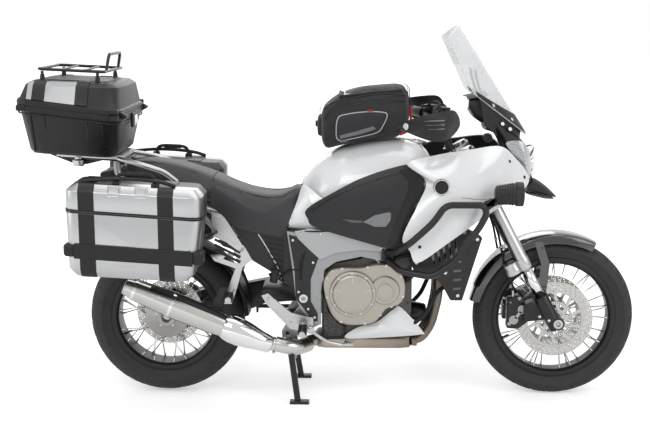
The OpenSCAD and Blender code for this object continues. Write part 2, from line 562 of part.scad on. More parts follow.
// The screen: a foot line and a head line, each with how far its sides sweep back and rise
screen_foot = [[1468, 0, 1077], 237, 178, 172];
screen_head = [[1182, 0, 1523], 52, -51, 150];
screen_t = 4;
function screen_point(u, v) = let (m = screen_foot * (1 - v) + screen_head * v, s = u * u)
    m[0] + [-m[1] * s, m[3] * u, m[2] * s];
module windscreen() color([0.8, 0.87, 0.9, 0.45]) placed()
    sheet([for (v = [0:0.125:1]) [for (u = [-1:0.2:1.001]) screen_point(u, v)]], [-screen_t, 0, 0]);
module instruments() color("#1b1b1c") placed() {
    x_loft([[1226, 1186, 1236, 84, 0.9], [1250, 1150, 1244, 92, 0.9], [1291.5, 1128, 1232, 96, 0.9]], 20);
}

crash_points = [[903, 194, 630], [926, 253, 641], [986, 326, 698], [1070, 328, 776], [1118, 326, 846], [1262, 322, 846],
    [1276, 316, 812], [1244, 318, 750], [1186, 320, 681], [1160, 318, 625], [1072, 308, 562], [950, 262, 574],
    [905, 198, 604]];
module crash_bars() color("#1a1a1b") placed() both_sides() {
    pipe(rounded(crash_points, 24, 3), crash_bar_r, 10);
    plate(plate_in + plate_t + seat_gap, 198, [[880, 598], [926, 598], [926, 648], [880, 648]]);
}
fog_lamp = [1357, 306, 886];
module fog_lamps() color("#2c2d2f") placed() both_sides() {
    plate(314, 324, [[1236, 859.3], [1268, 859.3], [1312, 868], [1312, 900], [1300, 900], [1236, 872]]);
    translate([fog_lamp.x - 52, fog_lamp.y, fog_lamp.z]) rotate([0, 90, 0]) {
        cylinder(r1 = 30, r2 = 46, h = 26, $fn = 48);
        translate([0, 0, 26]) cylinder(r = 46, h = 80, $fn = 48);
    }
}

// ---------- rests, tail and racks ----------

peg = [570, 335];
heel_y = plate_in + plate_t + 5 + seat_gap;
module footrests() color("#b9babb") placed() both_sides() {
    plate(heel_y, heel_y + 6, [[404, 455], [430, 464], [520, 388], [572, 372], [610, 366], [610, 320], [560, 312],
        [520, 318], [424, 420]]);
    cross_shaft(peg[0], peg[1], heel_y + 6, 330, 12);
}
peg_plate_y = plate_in - 7.3;
module passenger_footrests() color("#b0b1b2") placed() both_sides() {
    difference() {
        plate(peg_plate_y, plate_in - seat_gap, [[300, 646], [352, 640], [372, 596], [326, 560], [306, 486], [290, 436], [262, 436], [262, 462],
            [284, 520], [298, 556], [214, 586], [196, 612], [290, 618]]);
        plate(130, 170, [[306, 574], [300, 606], [252, 603], [250, 594]]);
    }
    cross_shaft(276, 450, plate_in - seat_gap, 250, 12);
}
module tail_unit() color("#1d1d1e") placed() {
    plate(-90, 90, [[tail_cross[0] - 10 - seat_gap, 868], [tail_cross[0] - 10 - seat_gap, 898], [-180, 904],
        [-180, 942], [-246, 930], [-236, 858], [-190, 862]]);
    plate(-70, 70, [[-200, 866], [-237, 864], [-286, 700], [-276, 660], [-266, 700]]);
}
carrier_z = function (x) 1028 + (x + 485) * (1008 - 1028) / 313;
module grab_rails() color("#c3c4c5") placed() {
    plate(-126, 126, [[-409, carrier_z(-409) - 18], [-409, carrier_z(-409) - seat_gap],
        [-145, carrier_z(-145) - seat_gap], [-145, carrier_z(-145) - 16.3]]);
    both_sides() pipe(rounded([[70, 139, 905], [20, 150, 946], [-60, 150, 972], [-146, 126, 990],
        [-175, 113, 998]], 26, 3), 10, 10);
}
rack_y = side_case_in - 8 - seat_gap;
module luggage_racks() color("#18181a") placed() both_sides() {
    pipe(rounded([[150, rack_y, 760], [150, rack_y, 640], [-225, rack_y, 665], [-225, rack_y, 860],
        [150, rack_y, 836], [150, rack_y, 768]], 30, 3), 8, 12);
    rod([150, rack_y - 3, 730], [222, 137, 706], 7, 16);
    rod([-130, rack_y - 3, 858], [-110, 127, 880], 7, 16);
}

// ---------- stands ----------

module centre_stand() color("#2a2b2c") placed() {
    cross_shaft(stand_pivot[0], stand_pivot[1], -plate_in + 9.5, plate_in - 9.5, 15);
    both_sides() {
        cross_shaft(stand_pivot[0], stand_pivot[1], plate_in - 12, plate_in + 6, 8);
        rod([stand_pivot[0], 118, stand_pivot[1]], [546, stand_foot_y, 8], 13);
        translate([514, stand_foot_y - 20, 0]) cube([78, 40, 9]);
    }
    rod([524, -140, 160], [524, 140, 160], 10);
}
module side_stand() color("#2a2b2c") placed() at_side_stand() {
    translate([0, 22, 0]) rotate([90, 0, 0]) cylinder(r = 13, h = 20.5, $fn = 32);
    rod([-2, 14, 0], [-side_stand_len, 14, 0], 9);
    translate([-side_stand_len - 5, -2, -24]) cube([9, 38, 48]);
}

// ---------- luggage ----------

bag_rows = [[640, 1052, 1186, 96, 0.9], [664, 1022, 1216, 118, 0.85], [724, 1038, 1256, 134, 0.8],
    [830, 1060.5, 1278, 140, 0.78], [925, 1068.3, 1286, 138, 0.78], [970, 1082, 1288, 128, 0.8], [988, 1110, 1268, 108, 0.9]];
module tank_bag() color("#1b1b1d") placed() x_loft(bag_rows, 28, 0.45);

// Case rows: x0, x1, y0, y1, height at x0, height at x1, corner radius
w = top_case_half_w;
top_foot = [-485, -172, -w + 65, w - 65, 1028, 1008, 50];
top_belt = [-516, -134, -w + 6, w - 6, 1196, 1147, 60];
top_rim = [-527, -124, -w, w, 1222, 1173, 62];
module top_case() color("#1f1f20") placed() {
    skin([for (row = [top_foot, inset(top_foot, -14, 14), top_belt, inset(top_rim, 0, -22), top_rim,
        inset(top_rim, case_wall + 5, 0), inset(top_belt, case_wall, 0), inset(top_foot, case_wall - 14, 20),
        inset(top_foot, case_wall, case_wall)]) case_ring(row)]);
    both_sides() top_knuckle([204, 221], -1);
}
lid_rim = inset(top_rim, 0, lid_gap);
lid_belt = [-518, -132, -w + 6, w - 6, 1246, 1198, 60];
lid_crown = [-506, -140, -w + 40, w - 40, 1292, 1278, 70];
lid_top = [-480, -160, -w + 68, w - 68, 1307, 1294, 60];
module top_case_lid() color("#1f1f20") placed() {
    skin([for (row = [inset(lid_top, case_wall, -case_wall), inset(lid_crown, case_wall, -case_wall),
        inset(lid_belt, case_wall, -2), inset(lid_rim, case_wall + 5, 0), lid_rim, inset(lid_rim, 0, 18),
        lid_belt, lid_crown, lid_top]) case_ring(row)]);
    both_sides() top_knuckle([221.5, 238], 1);
    lid_rack();
}
top_hinge = [-112, 1171.5];
// A hinge knuckle with its arm, on the lid (up = 1) or on the case (up = -1)
module top_knuckle(y, up) {
    difference() {
        union() {
            cross_shaft(top_hinge[0], top_hinge[1], y[0], y[1], 8);
            plate(y[0], y[1], [[-126, top_hinge[1] + up * 3], [-112, top_hinge[1] + up * 3],
                [-112, top_hinge[1] + up * 8], [-126, top_hinge[1] + up * 16]]);
        }
        cross_shaft(top_hinge[0], top_hinge[1], y[0] - 1, y[1] + 1, 3);
    }
}
rack_half = 168;
function lid_top_z(x) = lid_top[4] + (lid_top[5] - lid_top[4]) * (x - lid_top[0]) / (lid_top[1] - lid_top[0]);
module lid_rack() {
    pipe(rounded([[-196, -rack_half, 1338], [-458, -rack_half, 1350], [-458, rack_half, 1350],
        [-196, rack_half, 1338]], 30, 4), rack_r, 10);
    pipe([[-200, -rack_half, 1338], [-200, rack_half, 1338]], rack_r, 10);
    pipe(rounded([[-202, -115, 1338], [-190, -110, 1404], [-190, 110, 1404], [-202, 115, 1338]], 22, 3), rack_r, 10);
    for (x = [-440, -225]) for (side = [-1, 1])
        rod([x, side * rack_half, lid_top_z(x) - 2], [x, side * rack_half, 1342], 6, 16);
}

pannier_foot = [-268, 150, -side_case_out + 16, -side_case_in - 10, 604, 580, 30];
pannier_low = [-290, 178, -side_case_out + 2, -side_case_in, 634, 606, 36];
pannier_rim = [-294, 208, -side_case_out, -side_case_in, 851, 817, 38];
pannier_lid_mid = [-292, 210, -side_case_out, -side_case_in, 925, 895, 38];
pannier_lid_top = [-262, 188, -side_case_out + 26, -side_case_in - 18, 950, 922, 30];
module case_base(flip) {
    rows = [pannier_foot, pannier_low, pannier_rim, inset(pannier_rim, case_wall, 0),
        inset(pannier_low, case_wall, 0), inset(pannier_foot, case_wall, case_wall)];
    skin([for (row = rows) case_ring(flip ? mirrored(row) : row)]);
}
module side_cases() color("#b9babb") placed() {
    case_base(false);
    case_base(true);
}
module case_lid(flip) {
    rows = [inset(pannier_lid_top, case_wall, -case_wall), inset(pannier_lid_mid, case_wall, -case_wall),
        inset(inset(pannier_rim, 0, lid_gap), case_wall, 0), inset(pannier_rim, 0, lid_gap), pannier_lid_mid,
        pannier_lid_top];
    skin([for (row = rows) case_ring(flip ? mirrored(row) : row)]);
}
module side_case_lid_right() color("#c3c4c5") placed() case_lid(false);
module side_case_lid_left() color("#c3c4c5") placed() case_lid(true);

front_tyre();
front_rim();
front_spokes();
front_hub();
front_discs();
rear_tyre();
rear_rim();
rear_spokes();
rear_hub();
rear_disc();
fork_legs();
fork_sliders();
fork_tubes();
triple_clamps();
handlebar();
bar_controls();
hand_guards();
front_fender();
front_calipers();
brake_hoses();
main_frame();
subframe();
frame_guards();
swingarm();
shock();
rear_fender();
engine();
clutch_cover();
generator_cover();
lower_brackets();
belly_covers();
header_pipes();
silencer();
radiator();
radiator_cowls();
tank();
tank_panels();
seat();
side_covers();
side_cowls();
nose_cowl();
headlight();
beak();
windscreen();
instruments();
crash_bars();
fog_lamps();
footrests();
passenger_footrests();
tail_unit();
grab_rails();
luggage_racks();
centre_stand();
side_stand();
tank_bag();
top_case();
top_case_lid();
side_cases();
side_case_lid_right();
side_case_lid_left();
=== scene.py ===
"""Builds the looks of a touring motorcycle around its packed frame."""

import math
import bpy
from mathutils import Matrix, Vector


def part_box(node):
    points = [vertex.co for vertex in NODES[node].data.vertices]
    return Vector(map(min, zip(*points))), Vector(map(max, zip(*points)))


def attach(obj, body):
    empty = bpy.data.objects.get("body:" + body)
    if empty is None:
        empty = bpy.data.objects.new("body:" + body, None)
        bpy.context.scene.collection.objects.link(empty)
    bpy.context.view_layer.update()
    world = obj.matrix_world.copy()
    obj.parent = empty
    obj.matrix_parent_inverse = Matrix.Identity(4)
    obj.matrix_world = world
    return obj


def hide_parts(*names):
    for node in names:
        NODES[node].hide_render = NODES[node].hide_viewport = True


bl_info = {
    "name": "Touring Motorcycle",
    "version": (1, 0, 0),
    "blender": (4, 5, 0),
    "location": "3D Viewport > Sidebar > Motorcycle",
    "description": "Bodywork, wheels, luggage and finishes of a touring motorcycle",
    "category": "Object",
}

import bmesh
import bpy
from mathutils import Matrix, Vector

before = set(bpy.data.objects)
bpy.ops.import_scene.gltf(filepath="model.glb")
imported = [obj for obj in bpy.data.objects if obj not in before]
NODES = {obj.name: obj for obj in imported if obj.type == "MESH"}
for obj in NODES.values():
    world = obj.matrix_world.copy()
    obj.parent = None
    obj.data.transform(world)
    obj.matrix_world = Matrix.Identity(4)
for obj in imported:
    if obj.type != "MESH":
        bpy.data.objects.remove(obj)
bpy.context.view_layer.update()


def centre_of(node):
    low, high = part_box(node)
    return (low + high) / 2


# Tables below are in millimetres, with x counted forward from the rear axle
REAR_AXLE = centre_of("rear_tyre")
FRONT_AXLE = centre_of("front_tyre")
WHEELBASE = (FRONT_AXLE.x - REAR_AXLE.x) * 1000
REAR_Z = REAR_AXLE.z * 1000
FRONT_Z = FRONT_AXLE.z * 1000
REAR_R = (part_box("rear_tyre")[1].z - REAR_AXLE.z) * 1000
FRONT_R = (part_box("front_tyre")[1].z - FRONT_AXLE.z) * 1000
RAKE = math.radians(28)


def at(p):
    """A table's point as metres in the row frame."""
    return Vector((REAR_AXLE.x + p[0] / 1000, p[1] / 1000, p[2] / 1000))


# ---------- shape helpers ----------


def unit(v):
    return Vector(v).normalized()


def smooth_path(points, steps=6, closed=False):
    """A Catmull-Rom curve through the points."""
    pts = [Vector(p) for p in points]
    n = len(pts)
    out = []
    spans = n if closed else n - 1
    for i in range(spans):
        if closed:
            a, b, c, d = (pts[(i + k) % n] for k in (-1, 0, 1, 2))
        else:
            a, b, c, d = pts[max(i - 1, 0)], pts[i], pts[i + 1], pts[min(i + 2, n - 1)]
        for k in range(steps):
            t = k / steps
            out.append(0.5 * ((2 * b) + (c - a) * t + (2 * a - 5 * b + 4 * c - d) * t * t
                              + (3 * b - a - 3 * c + d) * t ** 3))
    if not closed:
        out.append(pts[-1])
    return out


def round_path(points, cut, steps=6):
    """The path with each corner rounded, starting at a distance from it."""
    pts = [Vector(p) for p in points]
    out = [pts[0]]
    for i in range(1, len(pts) - 1):
        near = min(cut, (pts[i - 1] - pts[i]).length * 0.49, (pts[i + 1] - pts[i]).length * 0.49)
        a = pts[i] + unit(pts[i - 1] - pts[i]) * near
        b = pts[i] + unit(pts[i + 1] - pts[i]) * near
        for k in range(steps + 1):
            t = k / steps
            out.append((1 - t) ** 2 * a + 2 * t * (1 - t) * pts[i] + t * t * b)
    out.append(pts[-1])
    return out


FINISHES = {}


class Shape:
    """Faces gathered in millimetres, then made into one piece."""

    def __init__(self):
        self.points, self.faces = [], []

    def add(self, points, faces):
        start = len(self.points)
        self.points += [Vector(p) for p in points]
        self.faces += [[start + i for i in f] for f in faces]
        return self

    def rings(self, rings, closed=True, caps=True, loop=False):
        """A skin over rings of equally many points."""
        n = len(rings[0])
        pts = [p for ring in rings for p in ring]
        faces = []
        spans = len(rings) if loop else len(rings) - 1
        wide = n if closed else n - 1
        for i in range(spans):
            a, b = i * n, ((i + 1) % len(rings)) * n
            for j in range(wide):
                k = (j + 1) % n
                faces.append([a + j, a + k, b + k, b + j])
        if caps and closed and not loop:
            faces.append(list(range(n - 1, -1, -1)))
            faces.append([(len(rings) - 1) * n + j for j in range(n)])
        return self.add(pts, faces)

    def tube(self, path, r, sides=16, loop=False, caps=True):
        path = [Vector(p) for p in path]
        n = len(path)
        radii = r if isinstance(r, (list, tuple)) else [r] * n
        tangents = []
        for i in range(n):
            if loop:
                tangents.append(unit(path[(i + 1) % n] - path[i - 1]))
            else:
                tangents.append(unit(path[min(i + 1, n - 1)] - path[max(i - 1, 0)]))
        side = Vector((0, 0, 1)) if abs(tangents[0].z) < 0.8 else Vector((1, 0, 0))
        rings = []
        for p, t, radius in zip(path, tangents, radii):
            side = (side - side.dot(t) * t).normalized()
            other = t.cross(side)
            rings.append([p + radius * (math.cos(a) * side + math.sin(a) * other)
                          for a in (2 * math.pi * j / sides for j in range(sides))])
        return self.rings(rings, caps=caps, loop=loop)

    def prism(self, outline, y0, y1):
        """An outline of x and z between two distances to the left."""
        n = len(outline)
        area = sum(outline[i][0] * outline[(i + 1) % n][1] - outline[(i + 1) % n][0] * outline[i][1]
                   for i in range(n))
        pts = outline if area > 0 else outline[::-1]
        front = [(p[0], y0, p[1]) for p in pts]
        back = [(p[0], y1, p[1]) for p in pts]
        faces = [list(range(n)), [n + j for j in range(n - 1, -1, -1)]]
        faces += [[j, j + n, (j + 1) % n + n, (j + 1) % n] for j in range(n)]
        return self.add(front + back, faces)

    def plate(self, outline, side, near, far):
        """An outline of x and z between two distances out to a side."""
        return self.prism(outline, *sorted((side * near, side * far)))

    def block(self, centre, size, turn=None):
        """A box about its centre, turned by a matrix if one is given."""
        c, h = Vector(centre), Vector(size) / 2
        pts = [Vector((x * h.x, y * h.y, z * h.z)) for x in (-1, 1) for y in (-1, 1) for z in (-1, 1)]
        if turn is not None:
            pts = [turn @ p for p in pts]
        return self.add([c + p for p in pts], [[0, 1, 3, 2], [4, 6, 7, 5], [0, 4, 5, 1], [2, 3, 7, 6],
                                               [0, 2, 6, 4], [1, 5, 7, 3]])

    def lathe(self, centre, axis, profile, sides=48):
        """A profile of (along the axis, radius) turned about it."""
        c, t = Vector(centre), unit(axis)
        side = (Vector((0, 0, 1)) if abs(t.z) < 0.8 else Vector((1, 0, 0)))
        side = (side - side.dot(t) * t).normalized()
        other = t.cross(side)
        rings = [[c + t * along + max(r, 0.01) * (math.cos(a) * side + math.sin(a) * other)
                  for a in (2 * math.pi * j / sides for j in range(sides))] for along, r in profile]
        return self.rings(rings)

    def ring(self, centre, axis, profile, sides=96):
        """A closed profile of (along the axis, radius) turned about it, with a hole."""
        c, t = Vector(centre), unit(axis)
        side = (Vector((0, 0, 1)) if abs(t.z) < 0.8 else Vector((1, 0, 0)))
        side = (side - side.dot(t) * t).normalized()
        other = t.cross(side)
        rings = [[c + t * along + r * (math.cos(a) * side + math.sin(a) * other) for along, r in profile]
                 for a in (2 * math.pi * j / sides for j in range(sides))]
        return self.rings(rings, loop=True)

    def bolt(self, centre, axis, r=5, head=4, hexagon=True):
        """A flanged screw head with a socket."""
        self.lathe(centre, axis, [(-1, r * 1.25), (0.8, r * 1.25), (1, r * 1.1)], 24)
        c, t = Vector(centre), unit(axis)
        return self.lathe(c + t * 0.8, axis, [(0, r * 0.98), (head - 0.6, r * 0.98), (head, r * 0.8),
                                              (head, r * 0.5), (head * 0.45, r * 0.48)], 6 if hexagon else 24)

    def sheet(self, grid, thick):
        """An open grid of points made thick along its own normals."""
        rows, n = len(grid), len(grid[0])
        normals = []
        for i in range(rows):
            for j in range(n):
                du = Vector(grid[i][min(j + 1, n - 1)]) - Vector(grid[i][max(j - 1, 0)])
                dv = Vector(grid[min(i + 1, rows - 1)][j]) - Vector(grid[max(i - 1, 0)][j])
                normals.append(du.cross(dv).normalized())
        flat = [Vector(p) for row in grid for p in row]
        count = rows * n
        pts = flat + [p + v * thick for p, v in zip(flat, normals)]
        faces = []
        for i in range(rows - 1):
            for j in range(n - 1):
                a = i * n + j
                quad = [a, a + 1, a + n + 1, a + n]
                faces.append(quad[::-1])
                faces.append([k + count for k in quad])
        edge = [(j, j + 1) for j in range(n - 1)]
        edge += [(i * n + n - 1, (i + 1) * n + n - 1) for i in range(rows - 1)]
        edge += [((rows - 1) * n + j + 1, (rows - 1) * n + j) for j in range(n - 2, -1, -1)]
        edge += [((i + 1) * n, i * n) for i in range(rows - 2, -1, -1)]
        faces += [[a, b, b + count, a + count] for a, b in edge]
        return self.add(pts, faces)

    def make(self, name, finish, body, slot=None, bevel=0.0, segments=2, smooth=38, subdivide=0,
             replaces=(), weld=False):
        mesh = bpy.data.meshes.new(name)
        mesh.from_pydata([at(p) for p in self.points], [], self.faces)
        mesh.validate()
        solid = bmesh.new()
        solid.from_mesh(mesh)
        bmesh.ops.recalc_face_normals(solid, faces=solid.faces)
        solid.to_mesh(mesh)
        solid.free()
        obj = bpy.data.objects.new(name, mesh)
        bpy.context.scene.collection.objects.link(obj)
        obj.data.materials.append(FINISHES[finish])
        if weld:
            obj.modifiers.new("Weld", "WELD").merge_threshold = 0.0002
        finish_edges(obj, bevel, segments, smooth, subdivide)
        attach(obj, body)
        if replaces:
            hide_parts(*replaces)
        return obj


def finish_edges(obj, bevel=0.0, segments=2, smooth=38, subdivide=0):
    """Rounds an object's edges and shades it smooth below an angle."""
    obj.data.shade_smooth()
    if not subdivide:
        obj.data.set_sharp_from_angle(angle=math.radians(smooth))
    if subdivide:
        mod = obj.modifiers.new("Subdivision", "SUBSURF")
        mod.levels = mod.render_levels = subdivide
    if bevel:
        mod = obj.modifiers.new("Bevel", "BEVEL")
        mod.width = bevel
        mod.segments = segments
        mod.limit_method = "ANGLE"
        mod.angle_limit = math.radians(smooth)
        mod.harden_normals = True
    return obj


# ---------- finishes ----------


class Value:
    """A socket whose arithmetic adds Math nodes."""

    def __init__(self, tree, socket):
        self.tree, self.socket = tree, socket

    def maths(self, operation, *others, clamp=False):
        node = self.tree.nodes.new("ShaderNodeMath")
        node.operation, node.use_clamp = operation, clamp
        for i, item in enumerate(others):
            if isinstance(item, Value):
                self.tree.links.new(item.socket, node.inputs[i])
            else:
                node.inputs[i].default_value = item
        return Value(self.tree, node.outputs[0])

    def __add__(self, other):
        return self.maths("ADD", self, other)

    def __radd__(self, other):
        return self.maths("ADD", other, self)

    def __sub__(self, other):
        return self.maths("SUBTRACT", self, other)

    def __rsub__(self, other):
        return self.maths("SUBTRACT", other, self)

    def __mul__(self, other):
        return self.maths("MULTIPLY", self, other)

    def __rmul__(self, other):
        return self.maths("MULTIPLY", other, self)

    def __pow__(self, other):
        return self.maths("POWER", self, other)

    def __gt__(self, other):
        return self.maths("GREATER_THAN", self, other)

    def __abs__(self):
        return self.maths("ABSOLUTE", self)

    def sine(self):
        return self.maths("SINE", self)

    def clamped(self):
        return self.maths("ADD", self, 0.0, clamp=True)


class Finish:
    """A material and the nodes that vary it."""

    def __init__(self, name, **sockets):
        self.material = bpy.data.materials.new(name)
        self.material.use_nodes = True
        self.tree = self.material.node_tree
        self.shader = next(n for n in self.tree.nodes if n.type == "BSDF_PRINCIPLED")
        self.output = next(n for n in self.tree.nodes if n.type == "OUTPUT_MATERIAL")
        for key, value in sockets.items():
            self.shader.inputs[key.replace("_", " ")].default_value = value
        self.place = None

    def node(self, kind, settings=None, inputs=None, out=0):
        """A node by its type, its settings and its sockets; returns one output."""
        made = self.tree.nodes.new(kind)
        for key, value in (settings or {}).items():
            if key == "stops":
                ramp = made.color_ramp
                while len(ramp.elements) < len(value):
                    ramp.elements.new(0.5)
                for element, (where, colour) in zip(ramp.elements, value):
                    element.position, element.color = where, colour
            else:
                setattr(made, key, value)
        for key, value in (inputs or {}).items():
            if isinstance(value, Value):
                self.tree.links.new(value.socket, made.inputs[key])
            else:
                made.inputs[key].default_value = value
        return Value(self.tree, made.outputs[out])

    def where(self):
        """The point on the surface, as the object's own coordinates."""
        if self.place is None:
            self.place = self.node("ShaderNodeTexCoord", out="Object")
        return self.place

    def scaled(self, x, y, z):
        return self.node("ShaderNodeMapping", None, {"Vector": self.where(), "Scale": (x, y, z)})

    def axes(self):
        split = self.tree.nodes.new("ShaderNodeSeparateXYZ")
        self.tree.links.new(self.where().socket, split.inputs[0])
        return [Value(self.tree, split.outputs[i]) for i in range(3)]

    def noise(self, scale, detail=4.0, rough=0.55, vector=None, out="Fac"):
        return self.node("ShaderNodeTexNoise", None, {"Vector": vector or self.where(), "Scale": scale,
                                                      "Detail": detail, "Roughness": rough}, out)

    def ramp(self, value, stops):
        return self.node("ShaderNodeValToRGB", {"stops": stops}, {"Fac": value}, "Color")

    def mix(self, factor, a, b):
        """Colours a to b by a factor."""
        made = self.tree.nodes.new("ShaderNodeMix")
        made.data_type = "RGBA"
        for index, item in ((0, factor), (6, a), (7, b)):
            if isinstance(item, Value):
                self.tree.links.new(item.socket, made.inputs[index])
            else:
                made.inputs[index].default_value = item
        return Value(self.tree, made.outputs[2])

    def feed(self, **inputs):
        for key, value in inputs.items():
            self.tree.links.new(value.socket, self.shader.inputs[key.replace("_", " ")])
        return self

    def bump(self, height, strength, distance):
        normal = self.node("ShaderNodeBump", None, {"Height": height, "Strength": strength,
                                                    "Distance": distance}, "Normal")
        self.feed(Normal=normal)
        return self.material


def colour(r, g=None, b=None):
    return (r, r if g is None else g, r if b is None else b, 1.0)


def tinted(c, share):
    return tuple(min(1.0, v * share) for v in c[:3]) + (1.0,)


def paint(name, base, rough=0.22, coat=0.6, metallic=0.0, dirt=0.05):
    """Sprayed paint under a clear coat, with a faint orange peel."""
    f = Finish(name, Metallic=metallic, Coat_Roughness=0.06)
    f.shader.inputs["Coat Weight"].default_value = coat
    cloud = f.noise(7.0, 5.0)
    f.feed(Base_Color=f.mix(cloud * dirt * 2, base, tinted(base, 0.86)),
           Roughness=f.noise(35.0, 3.0) * 0.08 + rough)
    return f.bump(f.noise(900.0, 2.0), 0.06, 0.0004)


def plastic(name, base, rough=0.5, grain=1400.0, depth=0.3, worn=0.35):
    """Moulded plastic with a fine grain that is paler where it is rubbed."""
    f = Finish(name, Specular_IOR_Level=0.28)
    cloud = f.noise(16.0, 6.0, 0.6)
    f.feed(Base_Color=f.mix(cloud * worn, base, tinted(base, 1.7)),
           Roughness=f.noise(60.0, 4.0) * 0.16 + (rough - 0.08))
    return f.bump(f.noise(grain, 2.0), depth, 0.0004)


def metal(name, base, rough=0.3, stretch=(1.0, 1.0, 1.0), brush=0.25, scale=60.0, cast=0.0):
    """Bare metal; stretch draws its brushing out along an axis."""
    f = Finish(name, Metallic=1.0)
    lines = f.noise(scale, 6.0, 0.7, f.scaled(*stretch))
    stain = f.noise(9.0, 5.0)
    f.feed(Base_Color=f.mix(stain * 0.5, base, tinted(base, 0.74)),
           Roughness=lines * brush + (rough - brush * 0.5))
    if cast:
        return f.bump(f.noise(420.0, 4.0, 0.6), cast, 0.0008)
    return f.bump(lines, 0.12, 0.0004)


def coated(name, base, rough=0.38, depth=0.12, metallic=0.0):
    """Powder coat with a pebbled skin."""
    f = Finish(name, Metallic=metallic, Specular_IOR_Level=0.35)
    f.feed(Base_Color=f.mix(f.noise(11.0, 5.0) * 0.5, base, tinted(base, 1.5)),
           Roughness=f.noise(70.0, 4.0) * 0.14 + (rough - 0.07))
    return f.bump(f.noise(800.0, 2.0), depth, 0.0004)


def tyre_rubber():
    f = Finish("tyre_rubber", Specular_IOR_Level=0.35)
    dust = f.noise(26.0, 6.0, 0.65)
    f.feed(Base_Color=f.mix(dust * 0.6, colour(0.018, 0.018, 0.019), colour(0.060, 0.058, 0.055)),
           Roughness=f.noise(90.0, 3.0) * 0.2 + 0.6)
    return f.bump(f.noise(600.0, 3.0), 0.25, 0.0005)


def disc_steel(name, centre):
    """Steel ground in circles about the axle."""
    f = Finish(name, Metallic=1.0)
    x, _, z = f.axes()
    along, up = x - centre.x, z - centre.z
    radius = (along * along + up * up) ** 0.5
    rings = f.node("ShaderNodeTexNoise", {"noise_dimensions": "1D"},
                   {"W": radius, "Scale": 1500.0, "Detail": 2.0})
    f.feed(Base_Color=f.mix(f.noise(14.0, 4.0) * 0.4, colour(0.46, 0.45, 0.43), colour(0.28, 0.275, 0.265)),
           Roughness=rings * 0.22 + 0.2)
    return f.bump(rings, 0.15, 0.0003)


def tinted_steel():
    """Header steel, straw and bronze where it has been hot."""
    f = Finish("tinted_steel", Metallic=1.0)
    x = f.axes()[0]
    heat = (x * 1.1 + f.noise(6.0, 4.0) * 0.5 + 0.1).clamped()
    tint = f.ramp(heat, [(0.0, colour(0.40, 0.37, 0.33)), (0.4, colour(0.34, 0.29, 0.24)),
                         (0.75, colour(0.16, 0.13, 0.11)), (1.0, colour(0.06, 0.052, 0.048))])
    f.feed(Base_Color=tint, Roughness=f.noise(55.0, 5.0) * 0.25 + 0.24)
    return f.bump(f.noise(120.0, 4.0), 0.08, 0.0005)


def brushed_sheet(name, base, along, rough=0.34):
    """Aluminium sheet brushed along one axis."""
    f = Finish(name, Metallic=1.0)
    stretch = tuple(4.0 if i == along else 260.0 for i in range(3))
    lines = f.noise(3.0, 5.0, 0.65, f.scaled(*stretch))
    fine = f.noise(9.0, 3.0, 0.6, f.scaled(*stretch))
    cloud = f.noise(5.0, 4.0)
    f.feed(Base_Color=f.mix((lines * 0.5 + cloud * 0.35).clamped(), tinted(base, 1.12), tinted(base, 0.74)),
           Roughness=fine * 0.22 + (rough - 0.11))
    return f.bump(fine, 0.16, 0.0003)


def case_sheet(name, base):
    """Brushed sheet outside, black moulded shell on the side that faces the bike."""
    f = Finish(name)
    lines = f.noise(3.0, 5.0, 0.65, f.scaled(4.0, 260.0, 260.0))
    fine = f.noise(9.0, 3.0, 0.6, f.scaled(4.0, 260.0, 260.0))
    cloud = f.noise(5.0, 4.0)
    outer = (abs(f.axes()[1]) > 0.405)
    bare = f.mix((lines * 0.5 + cloud * 0.35).clamped(), tinted(base, 1.12), tinted(base, 0.74))
    black = f.mix(f.noise(16.0, 6.0) * 0.4, colour(0.014), colour(0.03))
    f.feed(Base_Color=f.mix(outer, black, bare), Metallic=outer,
           Roughness=outer * (fine * 0.22 + 0.23) + (1.0 - outer) * (cloud * 0.2 + 0.36))
    return f.bump(fine, 0.16, 0.0003)


def woven(name, base, thread=0.0012, sheen=0.25):
    """Coated nylon cloth with a basket weave."""
    f = Finish(name, Specular_IOR_Level=0.3, Sheen_Weight=sheen, Sheen_Roughness=0.4)
    x, y, z = f.axes()
    turn = 2 * math.pi / thread
    across = ((x + y * 0.5) * turn).sine() * ((z + y * 0.5) * turn).sine()
    # Noise patches lighten and darken the cloth's colour as painted shade of folds.
    painted_fold_shade = f.noise(12.0, 4.0)
    f.feed(Base_Color=f.mix((abs(across) * 0.5 + painted_fold_shade * 0.4).clamped(), tinted(base, 0.7), tinted(base, 1.9)),
           Roughness=f.noise(50.0, 3.0) * 0.15 + 0.66)
    return f.bump(across * 0.5 + f.noise(30.0, 5.0), 0.45, 0.0008)


def vinyl(name, base):
    """Seat vinyl with a leather grain."""
    f = Finish(name, Specular_IOR_Level=0.4)
    cells = f.node("ShaderNodeTexVoronoi", {"feature": "DISTANCE_TO_EDGE"},
                   {"Vector": f.where(), "Scale": 620.0}, "Distance")
    f.feed(Base_Color=f.mix(f.noise(9.0, 5.0) * 0.7, base, tinted(base, 1.9)),
           Roughness=f.noise(40.0, 4.0) * 0.16 + 0.46)
    return f.bump(cells + f.noise(45.0, 5.0) * 0.6, 0.35, 0.0008)


def clear(name, tint=(0.96, 0.98, 0.99, 1.0), alpha=0.16, rough=0.03):
    """Clear moulded plastic, thin enough to see straight through."""
    f = Finish(name, IOR=1.45, Coat_Roughness=0.02)
    f.shader.inputs["Coat Weight"].default_value = 1.0
    # The facing weight raises the opacity at grazing angles: a painted sheen on the pale base.
    edge = f.node("ShaderNodeLayerWeight", None, {"Blend": 0.35}, "Facing")
    f.feed(Base_Color=f.mix(f.noise(3.0, 2.0) * 0.2, tint, tinted(tint, 0.92)),
           Alpha=(edge * 0.5 + f.noise(4.0, 3.0) * 0.04 + alpha).clamped(),
           Roughness=f.noise(20.0, 3.0) * 0.03 + rough)
    return f.material


